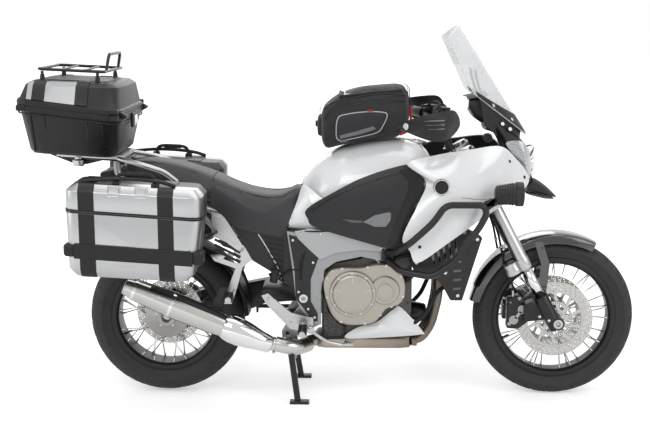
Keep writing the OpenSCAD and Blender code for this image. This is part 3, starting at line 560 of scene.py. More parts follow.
def mirror_bowl():
    f = Finish("reflector", Metallic=1.0)
    f.feed(Base_Color=f.mix(f.noise(8.0, 2.0) * 0.3, colour(0.9), colour(0.72)),
           Roughness=f.noise(60.0, 2.0) * 0.08 + 0.04)
    return f.bump(f.noise(160.0, 1.0), 0.2, 0.0008)


def red_lens():
    f = Finish("red_lens", IOR=1.5)
    f.shader.inputs["Coat Weight"].default_value = 1.0
    _, y, z = f.axes()
    flutes = (y * 900.0).sine() * (z * 900.0).sine()
    f.feed(Base_Color=f.mix(f.noise(20.0, 3.0) * 0.5, colour(0.42, 0.012, 0.01), colour(0.22, 0.006, 0.006)),
           Roughness=f.noise(30.0, 2.0) * 0.06 + 0.12)
    return f.bump(flutes, 0.4, 0.001)


def carbon_mesh(name="mesh_insert"):
    """Dark honeycomb behind the lower brackets' openings."""
    f = Finish(name, Specular_IOR_Level=0.4)
    cells = f.node("ShaderNodeTexVoronoi", {"feature": "DISTANCE_TO_EDGE"},
                   {"Vector": f.where(), "Scale": 190.0, "Randomness": 0.1}, "Distance")
    # The cells' centres are painted near black: painted shade inside the honeycomb's holes.
    holes = cells > 0.12
    f.feed(Base_Color=f.mix(holes, colour(0.06), colour(0.006)), Roughness=f.noise(50.0) * 0.2 + 0.4)
    return f.bump(cells, 0.6, 0.002)


WHITE = colour(0.80, 0.81, 0.82)
BLACK = colour(0.009, 0.009, 0.010)
SILVER = colour(0.46, 0.46, 0.455)


def make_finishes(white, case_metal):
    F = FINISHES
    F["white"] = paint("white_paint", white, 0.2, 0.8, 0.0, 0.02)
    F["gloss_black"] = paint("gloss_black_paint", colour(0.007, 0.007, 0.008), 0.1, 1.0)
    F["frame_grey"] = paint("frame_silver_grey", colour(0.29, 0.295, 0.30), 0.36, 0.3, 0.6)
    F["tube_grey"] = paint("tube_silver_grey", colour(0.36, 0.365, 0.37), 0.36, 0.2, 0.6)
    F["panel_grey"] = paint("panel_light_grey", colour(0.36, 0.365, 0.37), 0.34, 0.3, 0.5)
    F["dark_panel"] = plastic("dark_panel", colour(0.019, 0.0195, 0.021), 0.4)
    F["grey_panel"] = plastic("grey_panel", colour(0.10, 0.102, 0.108), 0.42)
    F["side_bowl"] = paint("side_bowl", colour(0.30, 0.305, 0.31), 0.14, 1.0, 0.7, 0.2)
    F["wedge"] = plastic("wedge_grey", colour(0.20, 0.203, 0.21), 0.4)
    F["satin_black"] = plastic("satin_black", colour(0.010, 0.010, 0.011), 0.28, 900.0, 0.1)
    F["black_plastic"] = plastic("black_plastic", BLACK, 0.46)
    F["case_black"] = plastic("case_black", colour(0.010, 0.010, 0.011), 0.44, 900.0, 0.5)
    F["rubber"] = plastic("soft_rubber", colour(0.010, 0.010, 0.011), 0.66, 700.0, 0.4)
    F["tyre"] = tyre_rubber()
    F["black_coat"] = coated("black_coat", BLACK, 0.34)
    F["black_rim"] = coated("black_rim", colour(0.006, 0.006, 0.007), 0.36, 0.05)
    F["silver"] = metal("satin_silver", SILVER, 0.32, brush=0.2)
    F["bright"] = metal("bright_steel", colour(0.52, 0.52, 0.51), 0.24, brush=0.15)
    F["chrome"] = metal("hard_chrome", colour(0.66, 0.66, 0.66), 0.08, (1, 1, 8), 0.06)
    F["tube_silver"] = metal("anodised_tube", colour(0.44, 0.44, 0.435), 0.3, (1, 1, 14), 0.16)
    F["cast_grey"] = metal("cast_grey", colour(0.34, 0.335, 0.325), 0.44, brush=0.2, cast=0.35)
    F["engine"] = coated("engine_dark", colour(0.075, 0.072, 0.068), 0.44, 0.3, 0.5)
    F["bronze_cover"] = paint("champagne_cover", colour(0.36, 0.335, 0.295), 0.34, 0.2, 0.85, 0.2)
    F["spoke_carrier"] = metal("polished_carrier", colour(0.30, 0.295, 0.285), 0.26, brush=0.2, cast=0.1)
    F["exhaust"] = brushed_sheet("brushed_exhaust", colour(0.48, 0.48, 0.46), 0, 0.22)
    F["headers"] = tinted_steel()
    F["case_metal"] = case_sheet("brushed_case", case_metal)
    # A darker copy of the case's brushed sheet, for the inlays and clip pads that face up: painted shade.
    F["case_metal_shaded"] = brushed_sheet("brushed_case_painted_shade", tinted(case_metal, 0.8), 0, 0.5)
    F["fabric"] = woven("black_nylon", colour(0.022, 0.022, 0.024))
    F["grey_fabric"] = woven("grey_nylon", colour(0.15, 0.15, 0.16))
    F["piping"] = plastic("silver_piping", colour(0.42, 0.42, 0.43), 0.4)
    F["red_cloth"] = woven("red_trim", colour(0.30, 0.012, 0.014))
    F["vinyl"] = vinyl("seat_vinyl", colour(0.022, 0.022, 0.024))
    F["seam"] = plastic("seat_thread", colour(0.055, 0.055, 0.06), 0.6)
    F["screen"] = clear("screen_clear", (0.84, 0.86, 0.87, 1.0), 0.26)
    F["lens"] = clear("lens_clear", (0.95, 0.97, 1.0, 1.0), 0.12)
    F["window"] = clear("map_window", (0.75, 0.78, 0.82, 1.0), 0.34, 0.08)
    F["bowl"] = mirror_bowl()
    F["red_lens"] = red_lens()
    F["mesh"] = carbon_mesh()
    F["front_disc"] = disc_steel("front_disc_steel", FRONT_AXLE)
    F["rear_disc"] = disc_steel("rear_disc_steel", REAR_AXLE)
    F["display"] = paint("dash_display", colour(0.02, 0.028, 0.03), 0.08, 1.0)
    F["amber"] = paint("amber_lens", colour(0.55, 0.16, 0.02), 0.12, 1.0)
    F["core"] = metal("radiator_core", colour(0.035, 0.035, 0.037), 0.5, (400, 1, 1), 0.3, 2.0, 0.4)


# The finish and the rounding, in metres, of each CAD node that stays in view
CAD_FINISH = {
    "front_rim": ("black_rim", 0.0012), "rear_rim": ("black_rim", 0.0012),
    "front_spokes": ("bright", 0), "rear_spokes": ("bright", 0),
    "front_hub": ("black_coat", 0.001), "rear_hub": ("spoke_carrier", 0.0015),
    "front_discs": ("front_disc", 0), "rear_disc": ("rear_disc", 0),
    "fork_legs": ("black_coat", 0.002), "fork_sliders": ("chrome", 0), "fork_tubes": ("tube_silver", 0.0012),
    "triple_clamps": ("black_coat", 0.003), "handlebar": ("black_coat", 0),
              "bar_controls": ("black_plastic", 0.002),
    "hand_guards": ("black_plastic", 0.001), "front_fender": ("gloss_black", 0.001),
    "front_calipers": ("black_coat", 0.004), "brake_hoses": ("rubber", 0),
    "main_frame": ("frame_grey", 0.004), "subframe": ("tube_grey", 0.0),
              "frame_guards": ("dark_panel", 0.0012),
    "swingarm": ("black_coat", 0.005), "shock": ("bright", 0.001), "rear_fender": ("black_plastic", 0.001),
    "engine": ("engine", 0.005), "clutch_cover": ("bronze_cover", 0.005),
              "generator_cover": ("bronze_cover", 0.005),
    "lower_brackets": ("black_plastic", 0.002), "belly_covers": ("white", 0.001),
              "header_pipes": ("headers", 0),
    "silencer": ("exhaust", 0.001), "radiator": ("core", 0.002), "radiator_cowls": ("dark_panel", 0.003),
    "tank": ("white", 0), "tank_panels": ("dark_panel", 0.001), "seat": ("vinyl", 0),
    "side_covers": ("dark_panel", 0.003), "side_cowls": ("white", 0.001),
              "nose_cowl": ("black_plastic", 0.001),
    "headlight": ("lens", 0), "beak": ("black_plastic", 0.001), "windscreen": ("screen", 0),
    "instruments": ("black_plastic", 0.002), "crash_bars": ("black_coat", 0),
              "fog_lamps": ("black_plastic", 0.002),
    "footrests": ("silver", 0.001), "passenger_footrests": ("silver", 0.0015),
              "tail_unit": ("black_plastic", 0.003),
    "grab_rails": ("silver", 0.002), "luggage_racks": ("black_coat", 0),
              "centre_stand": ("black_coat", 0.002),
    "side_stand": ("black_coat", 0.002), "tank_bag": ("fabric", 0), "top_case": ("case_black", 0.003),
    "top_case_lid": ("case_black", 0.003), "side_cases": ("case_metal", 0.002),
    "side_case_lid_right": ("case_metal", 0.002), "side_case_lid_left": ("case_metal", 0.002),
    "front_tyre": ("tyre", 0), "rear_tyre": ("tyre", 0),
}


def dress_nodes():
    """Gives every CAD node its finish and soft edges."""
    for name, obj in NODES.items():
        key, rounding = CAD_FINISH[name]
        obj.data.materials.clear()
        obj.data.materials.append(FINISHES[key])
        obj.data.shade_smooth()
        weld = obj.modifiers.new("Weld", "WELD")
        weld.merge_threshold = 0.00002
        if rounding:
            mod = obj.modifiers.new("Bevel", "BEVEL")
            mod.width, mod.segments = rounding, 2
            mod.limit_method, mod.angle_limit = "ANGLE", math.radians(32)
            mod.use_clamp_overlap = True


# ---------- wheels ----------


def tread(shape, centre, r, w, rim_r, rim_w, blocks, lean, turns=720):
    """A tyre with a crowned tread cut by slanting grooves."""
    crown = [math.radians(a) for a in range(-84, 85, 4)]
    profile = [(-rim_w / 2 + 0.3, rim_r + 0.3), (-rim_w / 2 + 0.3, rim_r + 11)]
    profile += [(w / 2 * math.sin(a), r - 0.42 * w + 0.42 * w * math.cos(a)) for a in crown]
    profile += [(rim_w / 2 - 0.3, rim_r + 11), (rim_w / 2 - 0.3, rim_r + 0.3)]
    rings = []
    for i in range(turns):
        a = 2 * math.pi * i / turns
        ring = []
        for k, (side, radius) in enumerate(profile):
            t = 2 * side / w
            cut = 0.0
            if 2 <= k < len(profile) - 2:
                reach = abs(t)
                phase = (a * blocks / (2 * math.pi) + lean * reach ** 1.4 + (0.5 if t > 0 else 0.0)) % 1.0
                fine = (a * blocks / math.pi + 0.3 * reach) % 1.0
                if 0.10 < reach < 0.86 and abs(phase - 0.5) < 0.11:
                    cut = 4.5
                elif 0.62 < reach < 0.93 and abs(fine - 0.5) < 0.12:
                    cut = 3.0
                elif reach < 0.035:
                    cut = 3.0
                if reach > 0.945:
                    cut = 0.0
            if k in (4, 7, len(profile) - 8, len(profile) - 5):
                cut = max(cut, 0.7)
            rr = radius - cut
            ring.append((centre[0] + rr * math.cos(a), side, centre[1] + rr * math.sin(a)))
        rings.append(ring)
    return shape.rings(rings[::-1], loop=True)


def spoke_ends(centre, count, hub_r, hub_y, rim_r, rim_y, lean):
    """The two ends of each crossed spoke."""
    for side in (-1, 1):
        for i in range(count):
            a = math.radians(360 * (i + side / 4) / count)
            b = a + math.radians(lean if i % 2 == 0 else -lean)
            y = hub_y[0] if side < 0 else hub_y[1]
            yield (Vector((centre[0] + hub_r * math.cos(a), y, centre[1] + hub_r * math.sin(a))),
                   Vector((centre[0] + rim_r * math.cos(b), side * rim_y, centre[1] + rim_r * math.sin(b))))


def nipples(name, body, ends):
    s = Shape()
    for hub, rim in ends:
        d = unit(rim - hub)
        s.lathe(rim - d * 17, d, [(0, 2.6), (3, 3.6), (15, 3.8), (17.5, 3.8)], 10)
        s.lathe(hub - d * 3, d, [(0, 3.8), (5, 3.8), (6, 3.0)], 10)
    return s.make(name, "bright", body, "spoke_steel")


def drilled_disc(name, centre, y, thick, inner, outer, body, replaces, finish, slots):
    """A brake disc's ring with rows of holes through it."""
    plate = Shape()
    plate.ring((centre[0], y, centre[1]), (0, 1, 0),
               [(0, inner), (0, outer - 0.5), (0.5, outer), (thick - 0.5, outer), (thick, outer - 0.5),
                (thick, inner)],
               180)
    disc = plate.make(name, finish, body, "disc_steel", smooth=30, replaces=replaces)
    cutter = Shape()
    rows = 4
    for i in range(slots):
        for k in range(rows):
            a = 2 * math.pi * (i + k * 0.27) / slots
            radius = inner + (outer - inner) * (0.17 + 0.66 * k / (rows - 1))
            c = (centre[0] + radius * math.cos(a), y - 2, centre[1] + radius * math.sin(a))
            cutter.lathe(c, (0, 1, 0), [(0, 2.7), (thick + 4, 2.7)], 10)
    mesh = bpy.data.meshes.new(name + "_cut")
    mesh.from_pydata([at(p) for p in cutter.points], [], cutter.faces)
    tool = bpy.data.objects.new(name + "_cut", mesh)
    bpy.context.scene.collection.objects.link(tool)
    mod = disc.modifiers.new("Holes", "BOOLEAN")
    mod.operation, mod.solver, mod.object = "DIFFERENCE", "EXACT", tool
    bpy.context.view_layer.objects.active = disc
    bpy.context.view_layer.update()
    with bpy.context.temp_override(object=disc, active_object=disc, selected_objects=[disc]):
        bpy.ops.object.modifier_apply(modifier="Holes")
    bpy.data.objects.remove(tool)
    disc.data.shade_smooth()
    disc.data.set_sharp_from_angle(angle=math.radians(30))
    return disc


def carrier(shape, centre, y, thick, hub_r, arm_r, rim_r, arms, wide, sweep):
    """A disc's carrier: a ring, a rim and swept arms between them."""
    c = (centre[0], y, centre[1])
    shape.ring(c, (0, 1, 0), [(0, hub_r), (0, arm_r), (thick, arm_r), (thick, hub_r)], 64)
    shape.ring(c, (0, 1, 0), [(0.6, rim_r - 9), (0.6, rim_r), (thick - 0.6, rim_r), (thick - 0.6, rim_r - 9)],
               96)
    for i in range(arms):
        a = 2 * math.pi * i / arms
        b = a + sweep

        def spot(angle, radius, side, half):
            p = Vector((math.cos(angle), math.sin(angle))) * radius
            q = Vector((-math.sin(angle), math.cos(angle))) * half * side
            return (centre[0] + p.x + q.x, centre[1] + p.y + q.y)
        outline = [spot(a, arm_r - 2, -1, wide), spot(b, rim_r - 5, -1, wide * 0.62),
                   spot(b, rim_r - 5, 1, wide * 0.62), spot(a, arm_r - 2, 1, wide)]
        shape.prism(outline, y + 0.3, y + thick - 0.3)
        q = spot(b, rim_r - 0.5, 0, 0)
        shape.lathe((q[0], y - 1.6, q[1]), (0, 1, 0), [(0, 5.2), (0.6, 6.4), (thick + 2.6, 6.4),
                                                       (thick + 3.2, 5.2)], 20)
        q = spot(a, hub_r + (arm_r - hub_r) * 0.55, 0, 0)
        shape.bolt((q[0], y, q[1]), (0, -1, 0), 4.4, 4)
        shape.bolt((q[0], y + thick, q[1]), (0, 1, 0), 4.4, 4)
    return shape


def build_wheels():
    front, rear = (WHEELBASE, FRONT_Z), (0.0, REAR_Z)
    tread(Shape(), front, FRONT_R, 110, 241, 70, 30, 0.9).make(
        "front_tyre_tread", "tyre", "front_wheel", "tyre", smooth=30, replaces=["front_tyre"])
    tread(Shape(), rear, REAR_R, 150, 216, 108, 26, 1.1).make(
        "rear_tyre_tread", "tyre", "rear_wheel", "tyre", smooth=30, replaces=["rear_tyre"])
    nipples("front_nipples", "front_wheel", spoke_ends(front, 18, 48, [-34, 34], 223, 22, 16))
    nipples("rear_nipples", "rear_wheel", spoke_ends(rear, 18, 93, [-26, 26], 198, 40, 18))

    for side, tag in ((-1, "right"), (1, "left")):
        y = 56 if side > 0 else -61
        replaced = ["front_discs"] if side < 0 else []
        drilled_disc("front_disc_" + tag, front, y, 5, 119, 155, "front_wheel", replaced, "front_disc", 36)
        s = carrier(Shape(), front, y - 1 if side > 0 else y, 6, 27, 46, 119, 10, 8.5, 0.35)
        s.make("front_disc_carrier_" + tag, "silver", "front_wheel", "disc_steel", bevel=0.0008)
    drilled_disc("rear_disc_ring", rear, 38.3, 5, 96, 138, "rear_wheel", ["rear_disc"], "rear_disc", 34)
    carrier(Shape(), rear, 38.3, 5, 42, 58, 97, 6, 9, 0.3).make(
        "rear_disc_carrier", "black_coat", "rear_wheel", "disc_steel", bevel=0.0006)

    ring = Shape()
    for side in (-1, 1):
        y = side * 63.5
        ring.ring((front[0], y, front[1]), (0, side, 0), [(0, 62), (0, 74), (1.4, 74), (1.4, 62)], 96)
    ring.make("sensor_rings", "bright", "front_wheel", "disc_steel")
    slots = Shape()
    for side in (-1, 1):
        for i in range(48):
            a = 2 * math.pi * i / 48
            turn = Matrix.Rotation(-a, 3, "Y")
            slots.block((front[0] + 68 * math.cos(a), side * 65.0, front[1] + 68 * math.sin(a)),
                        (7, 0.5, 2.6), turn)
    slots.make("sensor_ring_slots", "black_plastic", "front_wheel", "black_hub")

    hub = Shape()
    for i in range(5):
        a = 2 * math.pi * (i + 0.25) / 5
        p = Vector((rear[0] + 40 * math.cos(a), -38, rear[1] + 40 * math.sin(a)))
        hub.lathe(p, (0, -1, 0), [(-1, 12), (3, 12), (4.5, 10.5)], 28)
        hub.lathe(p + Vector((0, -4, 0)), (0, -1, 0), [(0, 8.6), (11, 8.6), (12.5, 7)], 6)
        b = a + math.pi / 5
        hub.lathe((rear[0] + 76 * math.cos(b), -30, rear[1] + 76 * math.sin(b)), (0, -1, 0),
                  [(-1, 6), (1.2, 6), (2, 4.8)], 20)
    hub.lathe((rear[0], -34, rear[1]), (0, -1, 0), [(0, 25), (3, 25), (6, 22), (7, 14)], 40)
    hub.make("rear_wheel_nuts", "bright", "rear_wheel", "hub_cast", bevel=0.0005)
    cap = Shape()
    for side in (-1, 1):
        cap.lathe((front[0], side * (leg_half() + 28), front[1]), (0, side, 0),
                  [(-2, 19), (1.5, 19), (2.5, 17.5), (2.5, 9), (-3, 8.5)], 36)
    cap.make("axle_ends", "silver", "steering", "black_cast", bevel=0.0004)
    stems = Shape()
    for centre, rim in ((front, 224), (rear, 199)):
        a = math.radians(205)
        d = Vector((-math.cos(a), 0, -math.sin(a)))
        p = Vector((centre[0] + rim * math.cos(a), -6, centre[1] + rim * math.sin(a)))
        stems.lathe(p, d, [(-1, 6.2), (2, 6.0), (3, 3.4), (17, 3.4), (18, 3.9), (27, 3.9), (28, 2.6)], 16)
        stems.make("valve_stem_" + ("front" if centre is front else "rear"), "rubber",
                   "front_wheel" if centre is front else "rear_wheel", "black_hub")
        stems = Shape()
    rims = Shape()
    for centre, rim_r, rim_w, body in ((front, 241, 70, "front_wheel"), (rear, 216, 108, "rear_wheel")):
        for side in (-1, 1):
            rims.ring((centre[0], side * rim_w / 2, centre[1]), (0, side, 0),
                      [(6.1, rim_r - 8), (7.2, rim_r - 6.5), (7.2, rim_r + 7), (6.1, rim_r + 8.5)], 120)
        rims.make(body + "_rim_lip", "black_rim", body, "black_rim")
        rims = Shape()


def leg_half():
    """Half the distance between the fork legs' outer faces, less the leg's own half width."""
    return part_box("fork_legs")[1].y * 1000 - 30


# ---------- fork, fender, bar ----------


def steer(ahead, y, up):
    """A point of the steered frame, which leans back by the rake."""
    return Vector((WHEELBASE + 107 - up * math.sin(RAKE) + ahead * math.cos(RAKE), y,
                   up * math.cos(RAKE) + ahead * math.sin(RAKE)))


FORK_AXIS = Vector((-math.sin(RAKE), 0, math.cos(RAKE)))


def build_fork():
    """Fork caps, collars, seals, clamp bolts, axle clamps, calipers and hoses."""
    y_leg = leg_half()
    seal, collar, bolts, foot = Shape(), Shape(), Shape(), Shape()
    for side in (-1, 1):
        low = steer(0, side * y_leg, 604)
        collar.lathe(low, FORK_AXIS, [(-1, 22), (-1, 31), (3, 32), (20, 32), (24, 30.6), (46, 30.4),
                                      (48, 28)], 48)
        seal.lathe(low - FORK_AXIS * 6, FORK_AXIS, [(0, 21.6), (1, 26), (5, 26.4), (6, 24)], 40)
        top = steer(0, side * y_leg, 1150)
        bolts.lathe(top, FORK_AXIS, [(-2, 24), (3, 24), (5, 22), (5, 16)], 40)
        bolts.lathe(top + FORK_AXIS * 3, FORK_AXIS, [(0, 12), (9, 12), (10, 10.5), (10, 5), (6, 5)], 6)
        for up in (908, 924, 1120, 1132):
            bolts.bolt(steer(31 if up > 1000 else -31, side * (y_leg + 16), up), (0, side, 0), 4.2, 3.5)
        base = steer(0, side * y_leg, 470)
        foot.lathe(base + FORK_AXIS * 2, -FORK_AXIS, [(-3, 27), (4, 29.5), (14, 30), (20, 27)], 40)
        for ahead, up in ((8, 404), (34, 372), (-18, 376), (12, 348)):
            bolts.bolt(steer(ahead, side * (y_leg + 27), up), (0, side, 0), 4.6, 4)
    collar.make("fork_collars", "tube_silver", "steering", "tube_silver", bevel=0.0006)
    seal.make("fork_seals", "rubber", "steering", "black_plastic")
    bolts.make("fork_bolts", "bright", "steering", "black_cast")
    foot.make("fork_feet", "black_coat", "steering", "black_cast", bevel=0.0008)

    hose, ends = Shape(), Shape()
    for side in (-1, 1):
        path = [steer(24, side * 60, 899.7), steer(24, side * 62, 850), (1352, side * 74, 690),
                (1372, side * 86, 600),
                (1392, side * 88, 520), (1418, side * 82, 470), (1418, side * 82, 431)]
        hose.tube(smooth_path(path, 7), 4.6, 12)
        ends.lathe((1418, side * 82, 430), (0, 0, 1), [(0, 7.5), (6, 7.5), (7, 6), (22, 6), (24, 5)], 6)
        ends.lathe(steer(24, side * 60, 899), -FORK_AXIS, [(0, 7.5), (6, 7.5), (7, 6), (20, 6), (22, 5)], 6)
        for k in (760, 640):
            p = (1345 if k == 760 else 1364, side * (70 if k == 760 else 82), k)
            ends.lathe(p, unit((0.28, 0.1, -1)), [(0, 7), (8, 7)], 16)
    hose.make("brake_hose_runs", "rubber", "steering", "hose", replaces=["brake_hoses"])
    ends.make("brake_hose_ends", "silver", "steering", "hose")

    parts = Shape()
    for side in (-1, 1):
        for x, z, r in ((1422, 334, 17), (1456, 378, 17), (1444, 424, 6), (1404, 318, 6)):
            parts.lathe((x, side * 98, z), (0, side, 0), [(-2, r + 1.5), (1.6, r + 1.5), (2.2, r),
                                                          (2.2, r * 0.6), (1.2, r * 0.56)], 36)
        parts.block((1440, side * 99.2, 356), (12, 2, 62), Matrix.Rotation(math.radians(38), 3, "Y"))
        parts.bolt((1470, side * 97, 344), (0, side, 0), 4.4, 4)
        parts.bolt((1408, side * 97, 408), (0, side, 0), 4.4, 4)
    parts.make("caliper_details", "cast_grey", "steering", "black_cast", bevel=0.0006)

    # Fender: a crowned band over the tyre with a short tip behind
    fender = Shape()
    grid = []
    for i in range(73):
        a = math.radians(63 + (168 - 63) * i / 72)
        row = []
        for j in range(25):
            t = -1 + j / 12
            end = min(i, 72 - i)
            wide = 68 * (1 - 0.20 * max(0, 1 - end / 12) ** 2)
            crown = 25 - 17 * abs(t) ** 3.2
            if abs(t) > 0.86:
                crown -= 22 * (abs(t) - 0.86) / 0.14
            r = FRONT_R + crown
            row.append((WHEELBASE + r * math.cos(a),
                        wide * math.sin(t * math.pi / 2 * 0.92) / math.sin(math.pi / 2 * 0.92),
                        FRONT_Z + r * math.sin(a)))
        grid.append(row)
    fender.sheet(grid, 2.6)
    fender.make("front_fender_shell", "gloss_black", "steering", "gloss_black", bevel=0.0008, smooth=45,
                replaces=["front_fender"])
    stay = Shape()
    for side in (-1, 1):
        for outline, y0, y1 in (
                ([(1500, 652), (1534, 656), (1566, 560), (1558, 470), (1548, 424), (1518, 424), (1524, 480),
                  (1530, 560)], 67, 72),
                ([(1512, 470), (1556, 466), (1548, 426), (1516, 424)], 70, 82)):
            stay.plate(outline, side, y0, y1)
        for x, z in ((1534, 446), (1534, 628)):
            stay.bolt((x, side * (82 if z < 500 else 71.5), z), (0, side, 0), 5, 3.5)
    stay.make("fender_stays", "gloss_black", "steering", "black_plastic", bevel=0.0022)


BAR_POINTS = [(1129.6, 0, 1087), (1129.6, 70, 1087), (1098, 150, 1128), (1072, 232, 1146), (955, 440, 1156)]


def build_bar():
    """The bar, grips, levers, switches and cables."""
    pts = [(p[0], -p[1], p[2]) for p in BAR_POINTS[:0:-1]] + BAR_POINTS
    Shape().tube(round_path(pts, 30, 6), 11, 20).make("bar_tube", "black_coat", "steering", "black_cast",
                                                      replaces=["handlebar"])
    grip, ends, lever, switch, clamps = Shape(), Shape(), Shape(), Shape(), Shape()
    for side in (-1, 1):
        a, b = Vector((1029.9, side * 306.9, 1149.6)), Vector((955, side * 440, 1156))
        d = unit(b - a)
        long = (b - a).length
        profile = [(0, 21), (3, 22), (5, 17.4)]
        steps = 26
        for k in range(steps):
            z = 6 + (long - 14) * k / steps
            profile += [(z, 17.6), (z + 2.6, 17.6), (z + 2.9, 16.6), (z + 3.9, 16.6)]
        profile += [(long - 4, 18.5), (long - 1, 18.5)]
        grip.lathe(a, d, profile, 28)
        ends.lathe(b - d * 1, d, [(0, 12), (2, 17), (14, 17.5), (17, 15), (17, 8)], 32)
        tip = [(1104, side * 248, 1152), (1090, side * 290, 1151), (1066, side * 350, 1151),
               (1040, side * 404, 1151.6),
               (1030, side * 426, 1152)]
        lever.tube(smooth_path(tip, 6), [5.6] * 12 + [5.2] * 6 + [5.0] * 4 + [5.8] * 3, 14)
        lever.lathe((1028, side * 429, 1152), (0, 0, 1), [(-6, 4), (-5, 7), (5, 7), (6, 4)], 20)
        switch.block((1092, side * 236, 1160), (40, 34, 37),
                     Matrix.Rotation(math.radians(-30 * side), 3, "Z"))
        switch.block((1083, side * 214, 1166), (20, 18, 16),
                     Matrix.Rotation(math.radians(-30 * side), 3, "Z"))
        for k, (dx, dz) in enumerate(((-12, 8), (-14, -6), (6, 12))):
            clamps.block((1080 + dx, side * (230 + 6 * k), 1160 + dz), (7, 11, 6))
        clamps.lathe((1106, side * 248, 1144), (0, 0, 1), [(-2, 8), (16, 8), (17, 6)], 20)
    grip.make("grips", "rubber", "steering", "black_plastic", smooth=25)
    ends.make("bar_ends", "silver", "steering", "black_plastic", bevel=0.0005)
    lever.make("brake_levers", "silver", "steering", "black_plastic")
    switch.make("switch_blocks", "black_plastic", "steering", "black_plastic", bevel=0.004)
    clamps.make("switch_buttons", "panel_grey", "steering", "black_plastic", bevel=0.0012)

    cable = Shape()
    for path, r in (([(1078, -226, 1176), (1112, -176, 1200), (1130, -112, 1186), (1136, -60, 1140),
                      (1140, -30, 1060)], 4.2),
                    ([(1070, -236, 1172), (1094, -190, 1212), (1126, -120, 1206), (1144, -70, 1160),
                      (1150, -44, 1060)], 3.6),
                    ([(1078, 226, 1176), (1112, 176, 1200), (1130, 112, 1186), (1136, 60, 1140),
                      (1140, 30, 1060)], 4.2),
                    ([(1092, -236, 1180), (1116, -200, 1196), (1140, -110, 1150), (1148, -70, 1070)], 3.0)):
        cable.tube(smooth_path(path, 8), r, 10)
    cable.make("bar_cables", "rubber", "steering", "hose")
    cup = Shape()
    cup.lathe((1116, -196, 1172), (0.1, 0, 1), [(0, 17), (3, 19), (26, 20), (28, 22), (34, 22), (35, 19)], 32)
    cup.block((1116, -196, 1164), (22, 30, 14))
    cup.make("brake_reservoir", "black_plastic", "steering", "black_plastic", bevel=0.0012)

    guards = Shape()
    edge = [(922, 459, 1160), (985, 459, 1188), (1080, 417, 1206), (1142, 359, 1206), (1164, 335, 1150),
            (1120, 369, 1102),
            (1060, 417, 1098), (975, 461, 1130)]
    for side in (-1, 1):
        shield(guards, edge, (1070, 429, 1152), 8, 4.0, side, rings=7)
    guards.make("hand_guard_shells", "black_plastic", "steering", "black_plastic", smooth=50,
                replaces=["hand_guards"])
    vent = Shape()
    for side in (-1, 1):
        for k in range(3):
            z = 1176 - 15 * k
            a, b = shield_point(edge, (1070, 429, 1152), 8, (1020 + 8 * k, z)), shield_point(edge,
                    (1070, 429, 1152), 8, (1098, z))
            vent.tube([(a.x, side * (a.y + 0.5), a.z), ((a.x + b.x) / 2, side * ((a.y + b.y) / 2 + 3), z),
                       (b.x, side * (b.y + 0.5), b.z)],
                      3.2, 8)
    vent.make("hand_guard_ribs", "gloss_black", "steering", "black_plastic")


def shield(shape, edge, middle, bulge, thick, side, rings=8, steps=5):
    """A bulged shell over a closed edge that is smoothed between its points."""
    mid = Vector(middle)
    smooth = smooth_path(edge, steps, closed=True)

    def layer(k, deep):
        out = []
        for p in smooth:
            q = mid + (p - mid) * k
            out.append(Vector((q.x, side * (mid.y + (p.y - mid.y) * k * k + (1 - k * k) * bulge - deep),
                               q.z)))
        return out
    outer = [layer(1 - i / rings * 0.985, 0) for i in range(rings + 1)]
    inner = [layer(0.985 * (1 - i / rings * 0.98), thick) for i in range(rings + 1)]
    whole = inner[::-1] + outer
    return shape.rings(whole if side > 0 else [r[::-1] for r in whole])


def shield_point(edge, middle, bulge, spot):
    """The outward place of a shell's skin at an x and z, found ring by ring."""
    mid = Vector(middle)
    best = None
    smooth = smooth_path(edge, 5, closed=True)
    for p in smooth:
        flat = Vector((p.x - mid.x, p.z - mid.z))
        want = Vector((spot[0] - mid.x, spot[1] - mid.z))
        if flat.length < 1e-6:
            continue
        turn = flat.angle(want, 0.0) if want.length > 1e-6 else 0.0
        if best is None or turn < best[0]:
            best = (turn, want.length / flat.length, p)
    k = min(best[1], 1.0)
    return Vector((spot[0], mid.y + (best[2].y - mid.y) * k * k + (1 - k * k) * bulge, spot[1]))


# ---------- nose, cowls, screen ----------

COWL_EDGE = [(975, 212, 988), (1083, 226, 1024), (1210, 232, 1046), (1333, 206, 1057), (1400, 172, 1006),
             (1456, 146, 932),
             (1436, 172, 884), (1350, 226, 832), (1262, 262, 780), (1140, 286, 696), (1018, 292, 614),
             (986, 290, 660),
             (958, 282, 712), (1013, 258, 830), (1048, 226, 921)]
COWL_MIDDLE, COWL_BULGE = (1160, 272, 880), 8
PANEL_EDGE = [(586, 185, 806), (700, 205, 880), (820, 207, 940), (972, 199, 984), (1010, 203, 968),
              (1044, 211, 918),
              (1010, 225, 830), (953, 233, 708), (923, 229, 656), (760, 219, 694), (616, 199, 736),
              (590, 189, 765)]
PANEL_MIDDLE, PANEL_BULGE = (850, 221, 820), 10


def on_cowl(x, z):
    return shield_point(COWL_EDGE, COWL_MIDDLE, COWL_BULGE, (x, z))


def on_panel(x, z):
    return shield_point(PANEL_EDGE, PANEL_MIDDLE, PANEL_BULGE, (x, z))


def line_on(shape, surface, points, r, side, lift=0.4, sides=8, steps=6):
    """A thin raised line that follows a shell's skin."""
    path = smooth_path([(x, 0, z) for x, z in points], steps)
    out = []
    for p in path:
        q = surface(p.x, p.z)
        out.append((q.x, side * (q.y + lift), q.z))
    return shape.tube(out, r, sides)


